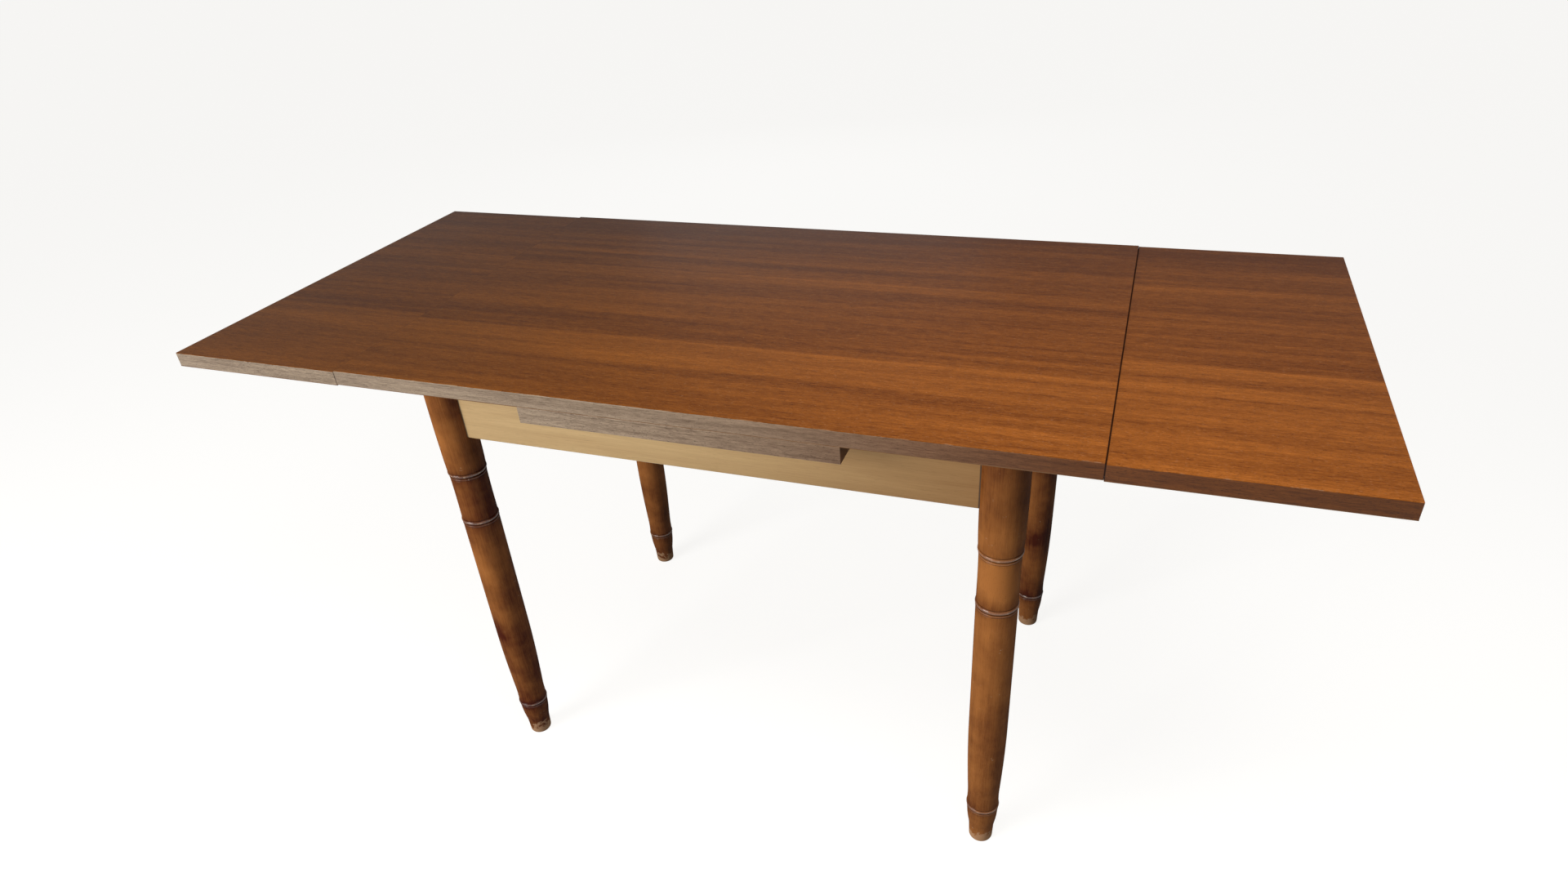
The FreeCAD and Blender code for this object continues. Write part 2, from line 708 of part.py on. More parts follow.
def make_board(name, x, face, core_cutters):
    """A top board: core, sheet above and below, and edging on all four edges."""
    sheet, strip = size["laminate_thick"], size["edging_thick"]
    base = face - size["board_thick"]
    core_z = (base + sheet, face - sheet)
    core_x = (x[0] + strip, x[1] - strip)
    core_y = (-half_width + strip, half_width - strip)
    blank = slab(name + "_core_blank", core_x, core_y, core_z)
    keep(name + "_laminate", slab(name + "_laminate_sheet", x, (-half_width, half_width),
                                  (face - sheet, face)))
    backing = slab(name + "_backing_sheet", x, (-half_width, half_width), (base, base + sheet))
    keep(name + "_core", cut(name + "_core_drilled", blank, core_cutters("core")))
    keep(name + "_backing", cut(name + "_backing_drilled", backing, core_cutters("backing")))
    edging(name + "_front_edging", x, (-half_width, core_y[0]), core_z)
    edging(name + "_back_edging", x, (core_y[1], half_width), core_z)
    edging(name + "_left_edging", (x[0], core_x[0]), core_y, core_z)
    edging(name + "_right_edging", (core_x[1], x[1]), core_y, core_z)


def make_main_top():
    """Loose main top with its two guide pegs, their buttons and screws."""
    peg_low = frame_top - size["top_lift"]
    peg_high = top_underside + size["guide_peg_seat"]
    button_low = peg_low - size["guide_button_thick"]
    head_low = button_low - size["screw_head_thick"]
    length = size["screw_head_thick"] + size["guide_button_thick"] + size["guide_screw_bite"]
    gap = size["drill_gap"]
    screws = []

    def peg_seats(layer):
        return [rod(f"main_top_{layer}_{row}_peg_seat", size["guide_peg_radius"] + gap,
                    size["guide_peg_seat"] + size["overrun"] + gap, Z_AXIS,
                    ZERO, size["guide_peg_y"] * y_side, top_underside - size["overrun"])
                for row, y_side in FRONT_BACK]

    make_board("main_top", (-half_top, half_top), top_face, peg_seats)
    for row, y_side in FRONT_BACK:
        y = size["guide_peg_y"] * y_side
        peg = rod(f"{row}_peg_blank", size["guide_peg_radius"], peg_high - peg_low, Z_AXIS,
                  ZERO, y, peg_low)
        button = rod(f"{row}_button_blank", size["guide_button_radius"], size["guide_button_thick"],
                     Z_AXIS, ZERO, y, button_low)
        bores = [rod(f"{row}_{piece}_bore", size["screw_radius"] + gap, length + gap, Z_AXIS,
                     ZERO, y, head_low) for piece in ("peg", "button")]
        keep(f"{row}_guide_peg", cut(f"{row}_peg_drilled", peg, bores[:1]))
        keep(f"{row}_guide_button", cut(f"{row}_button_drilled", button, bores[1:]))
        screws.append(screw(f"{row}_guide_screw", Z_AXIS, ZERO, y, head_low, length))
    keep("guide_button_screws", group("guide_screw_group", screws))


# Leaves on their bearers

def bearer_outline():
    """Side of a bearer, along the table from its inner end: two sloped edges that lie
    along the leaf's path, and a level edge under the leaf."""
    inner, outer = rail_inner - size["bearer_tail"], leaf_outer - size["bearer_inset"]
    return [
        (inner, bearer_base(inner), None),
        (outer, bearer_base(outer), None),
        (outer, leaf_underside, None),
        (leaf_inner, leaf_underside, None),
        (leaf_inner, bearer_crest(leaf_inner), None),
        (inner, bearer_crest(inner), None),
    ]


def bearer_screw_places(side, y):
    """Places of one bearer's screws: their heads' lower faces."""
    first = leaf_inner + size["bearer_screw_inset"]
    z = leaf_underside - size["bearer_screw_cover"] - size["screw_head_thick"]
    return [((first + size["bearer_screw_spacing"] * i) * side, y, z) for i in range(BEARER_SCREWS)]


def stop_peg_place(side, y):
    """Start of the stop peg across one bearer."""
    x = rail_inner - size["overtravel"] - size["stop_peg_radius"]
    z = (bearer_base(x) + bearer_crest(x)) / 2
    return x * side, y - size["stop_peg_length"] / 2, z


def make_leaf(side_name, side):
    """One leaf, its two bearers, their screws and the stop pegs."""
    x = mirrored(side, leaf_inner, leaf_outer)
    name = f"{side_name}_leaf"
    rows = bearer_rows(side)
    gap = size["drill_gap"]
    length = size["screw_head_thick"] + size["bearer_screw_cover"] + size["bearer_screw_bite"]
    screw_sets = {row: driven(f"{name}_{row}_screw", bearer_screw_places(side, y), Z_AXIS, length,
                              size["centre_board_thick"])
                  for row, y in rows}

    def core_seats(layer):
        made = []
        for row, y in rows:
            made += screw_sets[row][1](f"{name}_{layer}")
        return made

    make_board(name, x, leaf_face, core_seats)
    pegs, screws = [], []
    for row, y in rows:
        blank = padded(f"{name}_{row}_bearer_blank", "XZ_Plane", bearer_outline(),
                       size["bearer_width"], middle=True)
        if side < 0:
            blank.Placement.Rotation = FreeCAD.Rotation(Z_AXIS, 2 * QUARTER_TURN)
        put(blank, ZERO, y, ZERO)
        peg_x, peg_y, peg_z = stop_peg_place(side, y)
        pegs.append(rod(f"{name}_{row}_peg", size["stop_peg_radius"], size["stop_peg_length"],
                        Y_AXIS, peg_x, peg_y, peg_z))
        peg_hole = rod(f"{name}_{row}_peg_hole", size["stop_peg_radius"] + gap,
                       size["stop_peg_length"], Y_AXIS, peg_x, peg_y, peg_z)
        screws += screw_sets[row][0]
        keep(f"{side_name}_{row}_bearer",
             cut(f"{name}_{row}_bearer_drilled", blank,
                 screw_sets[row][1](f"{name}_{row}_bearer") + [peg_hole]))
    keep(f"{side_name}_stop_pegs", group(f"{name}_stop_peg_group", pegs))
    keep(f"{side_name}_bearer_screws", group(f"{name}_screw_group", screws))


def check_and_write():
    """Stops on a failed object or a bad shape, then writes each sub-part."""
    doc.recompute()
    failed = [thing.Label for thing in doc.Objects if {"Invalid", "Error"} & set(thing.State)]
    if failed:
        raise RuntimeError(f"objects failed to recompute: {failed}")
    for label, thing in nodes.items():
        if thing.Shape.isNull() or not thing.Shape.isValid() or not thing.Shape.Solids:
            raise RuntimeError(f"{label} has no valid solid")
    os.makedirs("parts", exist_ok=True)
    for label, thing in nodes.items():
        thing.Shape.exportStep(f"parts/{label}.step")
        box = thing.Shape.BoundBox
        print(f"{label}: {len(thing.Shape.Solids)} solids, {thing.Shape.Volume:.0f} mm3, "
              f"z {box.ZMin:.1f} to {box.ZMax:.1f}")
    print(f"{len(nodes)} sub-parts; leaf travel {leaf_travel.value:.1f}, drop {leaf_drop.value:.1f}")


make_legs()
block_seats = make_corner_blocks()
apron_seats, rail_seats = make_centre_board()
make_aprons(block_seats, apron_seats)
make_cross_rails(rail_seats)
make_main_top()
for side_name, side in SIDES:
    make_leaf(side_name, side)
check_and_write()
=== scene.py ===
"""Extending dining table: the looks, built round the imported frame.

The table is drawn out to its full length. Turned legs, veneered boards and their edge
bands are surfaces worked out here; the aprons, rails, bearers, blocks and pegs are the
frame's own pieces, which get their wood here.
"""

import json
import math
from functools import cache

import bpy
import numpy as np
from bpy.props import FloatProperty, FloatVectorProperty, IntProperty, PointerProperty
from mathutils import Matrix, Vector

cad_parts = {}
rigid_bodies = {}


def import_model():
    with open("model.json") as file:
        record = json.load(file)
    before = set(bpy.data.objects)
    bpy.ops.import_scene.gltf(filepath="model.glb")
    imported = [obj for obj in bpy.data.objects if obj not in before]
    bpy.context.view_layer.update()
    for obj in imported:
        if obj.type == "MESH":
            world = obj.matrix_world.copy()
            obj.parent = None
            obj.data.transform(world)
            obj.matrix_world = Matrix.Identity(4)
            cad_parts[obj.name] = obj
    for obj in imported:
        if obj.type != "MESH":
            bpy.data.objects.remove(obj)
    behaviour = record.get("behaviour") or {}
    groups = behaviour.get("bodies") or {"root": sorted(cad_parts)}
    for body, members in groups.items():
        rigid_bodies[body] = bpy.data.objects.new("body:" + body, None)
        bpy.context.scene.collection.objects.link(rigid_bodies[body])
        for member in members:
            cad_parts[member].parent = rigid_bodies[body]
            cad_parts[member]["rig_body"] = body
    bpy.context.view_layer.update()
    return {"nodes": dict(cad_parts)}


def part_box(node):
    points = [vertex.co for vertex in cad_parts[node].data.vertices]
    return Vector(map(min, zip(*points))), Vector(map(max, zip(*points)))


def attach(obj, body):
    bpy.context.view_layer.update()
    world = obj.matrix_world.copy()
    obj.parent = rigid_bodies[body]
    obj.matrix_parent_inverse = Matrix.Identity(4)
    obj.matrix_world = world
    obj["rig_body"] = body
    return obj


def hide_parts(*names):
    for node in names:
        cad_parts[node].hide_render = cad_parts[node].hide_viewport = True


bl_info = {
    "name": "Extending dining table",
    "version": (1, 0, 0),
    "blender": (4, 5, 0),
    "location": "3D View > Sidebar > Dining table",
    "description": "Builds a draw-leaf table's turned legs, boards, finishes and studio",
    "category": "Object",
}

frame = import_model()

MM = 0.001
# Turns that lay a wood's grain along the table, across it and upright.
ALONG_X, ALONG_Y, UPRIGHT = (0, 0, 0), (0, 0, math.pi / 2), (0, math.pi / 2, 0)

# A leg's outline as turned, from the floor up: (height, radius) in millimetres.
LEG_STATIONS = (
    (4.5, 18.3), (31.5, 19.5), (34.0, 20.0), (54.0, 22.8), (73.3, 23.9),
    (82.7, 24.1), (99.0, 23.8), (129.0, 25.0), (171.0, 26.7), (205.0, 27.6),
    (238.0, 28.1), (479.3, 28.3), (488.7, 28.2), (527.5, 27.85), (566.3, 28.2),
    (575.7, 29.4), (608.0, 30.3), (664.0, 30.8), (719.0, 30.8),
)
LEG_RINGS = (78.0, 484.0, 571.0)
# Under each ring runs a lesser bead: its height and rise as shares of the ring's bead, and
# the fine groove under it, as shares of the ring's groove.
LESSER_BEAD_SHARES = (0.5, 0.4)
FINE_GROOVE_SHARES = (0.7, 0.4)
# The bevel round a leg's head: (inwards, down) from its corner, the last one on the flat end.
HEAD_BEVEL = ((0.18 * MM, 0.18 * MM), (0.6 * MM, 0.0), (3 * MM, 0.0))
# Circles of points at the foot's end, along the whole leg and close to each ring.
FOOT_CIRCLES, PLAIN_CIRCLES, RING_CIRCLES = 8, 150, 75
RING_ZONE = (-9.5 * MM, 5.3 * MM)
# The legs, and how dark each is at its foot and at its head: the stain each took, with painted shade on
# the legs and parts of legs that stand in shade.
LEG_STAIN_AND_SHADE_SHARES = {
    "front_left_leg": (1.30, 0.55), "front_right_leg": (0.0, 0.32),
    "back_right_leg": (0.80, 0.65), "back_left_leg": (0.55, 0.30),
}
# What a ring adds to the stain.
RING_STAIN = 0.6
# The first leg's turn of the grain, and what each next leg adds.
FIRST_TURN, NEXT_TURN = 0.4, 1.7

# Points on each rounded corner and arris of a board.
ARC_POINTS = 5
# How far in a board's flat face ends, as a share of its corner's radius.
FLAT_SHARE = 0.9
# How far a row of points lies below an arris, and from the side's middle at least.
SIDE_ROW, SIDE_LEFT = 0.6 * MM, 0.05 * MM
BAND_CORNER = 0.42 * MM
# How far each board's veneer figure is moved: along the grain, and to the back.
SHEET_SHIFTS = {"main_top": (0.0, 0.0), "left_leaf": (3.1, 0.018), "right_leaf": (7.3, 0.070)}
# How far each edge band's figure is moved from the last one's.
BAND_SHIFT = np.array((1.9, 0.31, 0.0))

# The veneer's strips across the top, from front to back: (place in metres, tone), where
# tone 0 is the dark colour and 1 the bright one. Two places close together are a joint.
VENEER_STRIPS = (
    (-0.420, 0.52), (-0.350, 0.58), (-0.300, 0.50), (-0.243, 0.46), (-0.2405, 0.34),
    (-0.238, 0.36), (-0.2355, 0.56), (-0.168, 0.50), (-0.165, 0.70), (-0.1562, 0.66),
    (-0.155, 0.30), (-0.078, 0.32), (-0.074, 0.44), (-0.008, 0.42), (-0.003, 0.32),
    (0.068, 0.30), (0.073, 0.44), (0.100, 0.45), (0.105, 0.56), (0.109, 0.32),
    (0.164, 0.28), (0.169, 0.42), (0.176, 0.36), (0.240, 0.20), (0.350, 0.02),
)
STRIP_STRENGTH = 0.8


def figure(bands, band_width, fibres, fibre_width, fibre_length, pores, flecks):
    """A wood's figure: how strong its bands, fibres, pores and flecks are, from 0 up, and
    how wide and long, in metres."""
    return {
        "Bands": bands, "Band width": band_width, "Fibres": fibres, "Fibre width": fibre_width,
        "Fibre length": fibre_length, "Pores": pores, "Flecks": flecks,
    }


LEG_FIGURE = figure(0.6, 0.012, 0.45, 0.0011, 0.03, 0.35, 0.08)
VENEER_FIGURE = figure(0.9, 0.018, 1.1, 0.0014, 0.016, 1.0, 0.3)
BAND_FIGURE = figure(0.9, 0.0045, 1.1, 0.0013, 0.018, 1.0, 0.4)
BACKING_FIGURE = figure(0.5, 0.022, 0.5, 0.0009, 0.05, 0.1, 0.05)
CENTRE_BOARD_FIGURE = figure(0.8, 0.02, 0.5, 0.001, 0.05, 0.3, 0.1)
FRAME_FIGURE = figure(0.9, 0.022, 0.5, 0.0009, 0.05, 0.25, 0.1)
APRON_FIGURE = figure(0.9, 0.016, 0.45, 0.0014, 0.07, 0.25, 0.12)
# A broad band's length in its own widths.
BAND_LENGTH = 28.0
# Finer marks in a wood: their length and width as shares of a fibre's.
THIN_FIBRE_SHARES = (0.45, 0.36)
PORE_SHARES = (0.2, 0.5)
FLECK_SHARES = (0.34, 0.61)

# How strongly each thing works on the legs' lacquer.
LACQUER = {
    "wide cloud": 1.1, "small cloud": 0.8, "cloud middle": 0.95, "cloud": 1.4, "tone": 0.75,
    "shade": -0.42, "groove": 0.65, "crest rub": 0.7, "tip rub": 1.5, "worn": 0.6,
    "crest painted highlight": 0.10, "nick": 0.7, "crest gloss": 1.4, "plain gloss": 0.15,
}

# Painted light falloff: where along the table each finish starts to deepen, and where it is deepest. It
# stands in for light that falls off along the table: the veneer is painted darker to the left, the bands
# and aprons darker to the right.
VENEER_FALLOFF = (0.6, -0.5)
BAND_FALLOFF = (-0.2, 0.55)
APRON_FALLOFF = (-0.15, 0.5)

# The painted shade beside a seam, a dark line that stands in for the shadow in the gap: where it starts to
# fade and ends, how deep it is, and its share at the left seam, with the places along the table between
# which the share changes.
SEAM_SHADE_FADES = (0.7 * MM, 1.3 * MM)
SEAM_SHADE_DEPTH = 0.92
LEFT_SEAM_SHADE_SHARE = 0.55
SEAM_SHADE_CHANGES = (-0.1, 0.1)
# How far from a leg's face the painted shade of its joint with an apron starts and is full; it stands in
# for the shadow in the gap between leg and apron.
JOINT_SHADE_FADES = (2.6 * MM, 1.4 * MM)
JOINT_SHADE_DEPTH = 0.85
# How far from the centre board's ends their sealed dark starts and is full.
SEALED_FADES = (0.4 * MM, 0.1 * MM)

# The camera's place, its yaw, pitch down and roll in radians, and its lens and optical
# centre in pixels of the frame.
CAMERA_PLACE = (0.5313, -1.2845, 1.3262)
CAMERA_TURNS = (-0.381, 0.5779, 0.074)
CAMERA_LENS = 1177.9
CAMERA_CENTRE = (966.9, 601.8)
FRAME_WIDTH, FRAME_HEIGHT = 1920, 1080

# Each lamp: name, power setting, place, target, width, depth, spread in degrees, colour.
LAMPS = (
    ("key lamp", "key", (-2.0, -2.6, 1.35), (-0.1, -0.2, 0.5), 1.6, 1.6, 180, (1, 1, 1)),
    ("overhead lamp", "overhead", (0.55, -0.62, 1.85), (0.5, -0.42, 0.76), 1.3, 0.6, 125, (1, 1, 1)),
    ("low lamp", "window", (-1.35, 4.1, 1.75), (-0.1, 0.2, 0.76), 2.0, 0.9, 180, (0.93, 0.97, 1)),
)
# Grey of the backdrop as seen, and of the world's light by how high a ray points, 0 to 1.
BACKDROP_LEVEL = 0.93
LIGHT_LEVELS = ((0.0, 0.46), (0.3, 0.36), (0.6, 0.20), (1.0, 0.20))
# How much a ray's x and y count as pointing to the weak side, and the light's share there.
WEAK_SIDE = (0.85, 0.2)
WEAK_SHARE = 0.30
# What low rays behind the table add, growing between these values of their y and their z.
BEHIND_ADDS = 1.5
BEHIND_Y, BEHIND_Z = (0.2, 0.9), (0.4, 0.0)
# The floor's circles of points, the light it throws back and how it glows to the eye.
FLOOR_RADII = np.concatenate(([0.4], np.geomspace(1.0, 40.0, 12)))
FLOOR_SIDES = 64
FLOOR_MATT, FLOOR_GLOW = 0.26, 0.905


def srgb(red, green, blue):
    """A colour as seen on a screen, 0 to 255, as the linear values that Blender uses."""
    seen = np.array((red, green, blue)) / 255.0
    low, high = seen / 12.92, ((seen + 0.055) / 1.055) ** 2.4
    return tuple(float(v) for v in np.where(seen <= 0.04045, low, high))


# Colours that a few finishes mix in.
BARE_LEG = (0.72, 0.55, 0.36)
BARE_BAND = (0.62, 0.5, 0.36)
LEG_NICK = (0.5, 0.36, 0.22)
# A painted highlight on the bead crests.
CREST_PAINTED_HIGHLIGHT = srgb(178, 158, 142)
PORE_DARK = (0.004, 0.002, 0.001)
FLECK_LIGHT = (0.75, 0.62, 0.42)
# Painted shade in the gaps at the seams.
SEAM_SHADE_DARK = srgb(36, 17, 9)
# Painted shade in the gaps where the legs meet the aprons.
JOINT_SHADE_DARK = srgb(40, 22, 10)
SEALED_DARK, SEALED_PALE = srgb(58, 34, 18), srgb(96, 60, 34)


def length(name, default, about):
    """A length that a user may change, in metres."""
    return FloatProperty(
        name=name, description=about, default=default, min=0.0, unit="LENGTH", precision=4
    )


def tint(name, default, about):
    """A colour that a user may change."""
    return FloatVectorProperty(
        name=name, description=about, default=default, subtype="COLOR", size=3, min=0.0, max=1.0
    )


def power(name, default, about):
    """A lamp's power that a user may change, in watts."""
    return FloatProperty(name=name, description=about, default=default, min=0.0, unit="POWER")


class TableLegs(bpy.types.PropertyGroup):
    bead_rise: length("Bead rise", 1.1 * MM, "How far a ring's bead stands out")
    bead_height: length("Bead height", 5.0 * MM, "Height of a ring's bead")
    groove_depth: length("Groove depth", 0.9 * MM, "Depth of the grooves beside a bead")
    groove_height: length("Groove height", 2.2 * MM, "Height of each groove")
    foot_round: length("Foot rounding", 4.5 * MM, "Rounding round the end of a foot")
    pale_tip: length("Pale tip", 42 * MM, "How far up a foot its worn pale tip fades out")
    halo: length("Stain beside a ring", 15 * MM, "How far the stain darkens a leg beside a ring")
    sides: IntProperty(name="Sides", description="Faces round a leg", default=80, min=24)
    pale: tint("Leg, pale", srgb(174, 110, 55), "The lacquered wood where it is palest")
    deep: tint("Leg, deep", srgb(74, 25, 7), "The lacquered wood where it is darkest")
    # Stain gathered in the grooves, which also stands for their painted shade.
    groove_stain_and_shade: tint("Leg, stain", srgb(38, 15, 6), "Stain gathered in the grooves")


class TableBoards(bpy.types.PropertyGroup):
    sheet_arris: length("Sheet arris", 0.35 * MM, "Rounding along a veneer sheet's edges")
    band_arris: length("Band arris", 0.3 * MM, "Rounding along an edge band's edges")
    seam_fill: length("Seam fill", 0.25 * MM, "How far a leaf's inner band reaches towards the main top")
    corner: length("Corner rounding", 0.8 * MM, "Rounding of a board's corners in plan")
    dark: tint("Veneer, dark", srgb(91, 45, 12), "The darkest strips of the top")
    # Painted shade: deepens the veneer towards the left end.
    bright: tint("Veneer, bright", srgb(161, 93, 35), "The brightest strips of the top")
    left_painted_shade: tint("Veneer, left end", (0.85, 0.87, 0.62), "What deepens the veneer to the left")
    band_pale: tint("Edge band, pale", srgb(172, 151, 127), "The edge bands where they are palest")
    band_dark: tint("Edge band, dark", srgb(86, 64, 47), "The edge bands where they are darkest")
    # Painted light falloff: deepens the bands towards the right end.
    band_painted_shade: tint("Edge band, right end", (0.40, 0.17, 0.055), "What deepens the bands to the right")
    core_pale: tint("Core, pale", srgb(196, 166, 118), "The palest chips of the board cores")
    core_dark: tint("Core, dark", srgb(132, 98, 60), "The darkest chips of the board cores")
    backing: tint("Backing", srgb(120, 84, 52), "The sheet under each board")


class TableFrame(bpy.types.PropertyGroup):
    apron_pale: tint("Apron, pale", srgb(212, 180, 128), "The aprons where they are palest")
    apron_dark: tint("Apron, dark", srgb(164, 124, 78), "The aprons where they are darkest")
    # Painted light falloff: deepens the aprons towards the right end.
    apron_painted_shade: tint("Apron, right end", (0.62, 0.47, 0.34), "What deepens the aprons to the right")
    wood_pale: tint("Frame wood, pale", srgb(206, 172, 122), "Rails, blocks, bearers and pegs")
    wood_dark: tint("Frame wood, dark", srgb(160, 118, 74), "The same wood at its darkest")
    steel: tint("Screws", srgb(176, 172, 162), "The screws' plated steel")


class TableStage(bpy.types.PropertyGroup):
    floor: tint("Floor", srgb(252, 251, 249), "The floor as the camera sees it")
    key: power("Key lamp", 82.0, "Power of the lamp at the front left")
    overhead: power("Overhead lamp", 10.0, "Power of the lamp over the front right")
    window: power("Low lamp", 7.0, "Power of the long low lamp behind")


# Surfaces


def ring_faces(rings):
    """The four-sided faces between rings of points. Point j of ring i joins point j of ring
    i + 1, and the last point of a ring joins its first."""
    count, around = rings.shape[:2]
    i, j = np.meshgrid(np.arange(count - 1), np.arange(around), indexing="ij")
    after = (j + 1) % around
    here, beyond = i * around, (i + 1) * around
    return np.stack((here + j, beyond + j, beyond + after, here + after), -1).reshape(-1, 4).tolist()


def circle(points):
    """Points round a circle of radius 1, anticlockwise."""
    theta = np.arange(points) * 2 * math.pi / points
    return np.stack((np.cos(theta), np.sin(theta)), -1)


def new_object(name, data):
    """An object in the scene."""
    made = bpy.data.objects.new(name, data)
    bpy.context.scene.collection.objects.link(made)
    return made


def closed_surface(name, rings):
    """A closed mesh from rings of points, given as rings by points by three.

    Rings run from the top down and anticlockwise seen from above, which turns every face
    outwards. One many-sided face shuts the first ring and one the last.
    """
    count, around = rings.shape[:2]
    top = np.arange(around)
    bottom = (count - 1) * around + top[::-1]
    mesh = bpy.data.meshes.new(name)
    mesh.from_pydata(
        rings.reshape(-1, 3).tolist(), [], ring_faces(rings) + [top.tolist(), bottom.tolist()]
    )
    mesh.polygons.foreach_set("use_smooth", np.ones(len(mesh.polygons), bool))
    mesh.set_sharp_from_angle(angle=math.radians(50))
    mesh.update()
    return new_object(name, mesh)


def give(piece, name, values):
    """Keeps a value, or a place of three numbers, with each point of a piece."""
    place = values.ndim > 1 and values.shape[-1] == 3
    kind, field = ("FLOAT_VECTOR", "vector") if place else ("FLOAT", "value")
    store = piece.data.attributes.new(name, kind, "POINT")
    store.data.foreach_set(field, np.ascontiguousarray(values, np.float32).ravel())


def dress(piece, finish, body, slot, *nodes):
    """Gives a piece its finish and the body it moves with, and hides the frame's nodes it stands for."""
    piece.data.materials.clear()
    piece.data.materials.append(finish)
    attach(piece, body)
    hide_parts(*nodes)


def smooth_through(height, radius, at):
    """Radii at the heights `at`, on cubic pieces through the stations.

    The slope at a station is the harmonic mean of the slopes on either side, or zero where
    these differ in sign, so that the outline never swings past a station.
    """
    step = np.diff(height)
    rise = np.diff(radius) / step
    both = rise[:-1] * rise[1:]
    total = np.where(both > 0, rise[:-1] + rise[1:], 1.0)
    slope = np.concatenate(([rise[0]], np.where(both > 0, 2 * both / total, 0.0), [rise[-1]]))
    k = np.clip(np.searchsorted(height, at, side="right") - 1, 0, len(step) - 1)
    t, h = (at - height[k]) / step[k], step[k]
    return (
        (2 * t**3 - 3 * t**2 + 1) * radius[k]
        + (t**3 - 2 * t**2 + t) * h * slope[k]
        + (3 * t**2 - 2 * t**3) * radius[k + 1]
        + (t**3 - t**2) * h * slope[k + 1]
    )


def ring_profile(sizes):
    """One ring's beads and grooves as (middle above the ring's height, half height, rise):
    bead, groove above, groove below, lesser bead and fine groove."""
    half_bead, half_groove = sizes.bead_height / 2, sizes.groove_height / 2
    half_lesser = half_bead * LESSER_BEAD_SHARES[0]
    half_fine = half_groove * FINE_GROOVE_SHARES[0]
    beside = half_bead + half_groove
    lesser = -(half_bead + 2 * half_groove + half_lesser)
    under = lesser - half_lesser - half_fine
    return (
        (0.0, half_bead, sizes.bead_rise),
        (beside, half_groove, -sizes.groove_depth),
        (-beside, half_groove, -sizes.groove_depth),
        (lesser, half_lesser, sizes.bead_rise * LESSER_BEAD_SHARES[1]),
        (under, half_fine, -sizes.groove_depth * FINE_GROOVE_SHARES[1]),
    )


def turned_leg(name, x, y, sizes, turn, stain_and_shade_shares):
    """A turned leg round the upright line through (x, y).

    The radius at a height is the smooth outline through the stations, plus parabolas at each ring: beads
    stand out and grooves go in. The foot's end is a quarter circle. Each height gives one circle of
    points. The stain, with painted shade, runs evenly from foot to head, and deepens beside a ring as a
    bell curve of the distance. The grain is turned, and moved along the leg, by `turn`.
    """
    height, radius = np.array(LEG_STATIONS).T * MM
    plain = np.linspace(height[0], height[-1] - HEAD_BEVEL[1][0], PLAIN_CIRCLES)
    zone = np.linspace(*RING_ZONE, RING_CIRCLES)
    at = np.unique(np.concatenate([plain] + [ring * MM + zone for ring in LEG_RINGS]).round(7))
    out = smooth_through(height, radius, at)
    deep, crest = np.zeros_like(at), np.zeros_like(at)
    for ring in LEG_RINGS:
        for middle, half, rise in ring_profile(sizes):
            swell = np.clip(1 - ((at - ring * MM - middle) / half) ** 2, 0, None)
            out = out + rise * swell
            if rise > 0:
                crest = np.maximum(crest, swell * rise / sizes.bead_rise)
            else:
                deep = np.maximum(deep, swell * -rise / sizes.groove_depth)
    angle = np.linspace(-math.pi / 2, 0, FOOT_CIRCLES + 1)[:-1]
    foot_r = radius[0] - sizes.foot_round + sizes.foot_round * np.cos(angle)
    foot_h = sizes.foot_round + sizes.foot_round * np.sin(angle)
    inwards, down = np.array(HEAD_BEVEL).T
    h = np.concatenate((foot_h, at, height[-1] - down))[::-1]
    r = np.concatenate((foot_r, out, radius[-1] - inwards))[::-1]
    ends = (len(foot_h), len(down))
    deep, crest = np.pad(deep, ends)[::-1], np.pad(crest, ends)[::-1]
    tip = np.clip(1 - h / sizes.pale_tip, 0, 1)
    beside_ring = np.abs(h[:, None] - np.array(LEG_RINGS) * MM).min(axis=1)
    # The stain along the leg, partly painted shade.
    shade = np.interp(h, (0, height[-1]), stain_and_shade_shares)
    shade += RING_STAIN * np.exp(-(beside_ring / sizes.halo) ** 2)
    rings = np.empty((len(h), sizes.sides, 3))
    rings[..., :2] = r[:, None, None] * circle(sizes.sides) + (x, y)
    rings[..., 2] = h[:, None]
    piece = closed_surface(name, rings)
    right, back, up = np.moveaxis(rings - (x, y, 0), -1, 0)
    cos_t, sin_t = math.cos(turn), math.sin(turn)
    grain = np.stack((up + turn, right * cos_t - back * sin_t, right * sin_t + back * cos_t), -1)
    give(piece, "grain", grain.reshape(-1, 3))
    for key, values in (("groove", deep), ("crest", crest), ("tip", tip), ("shade", shade)):
        give(piece, key, np.repeat(values, sizes.sides))
    return piece


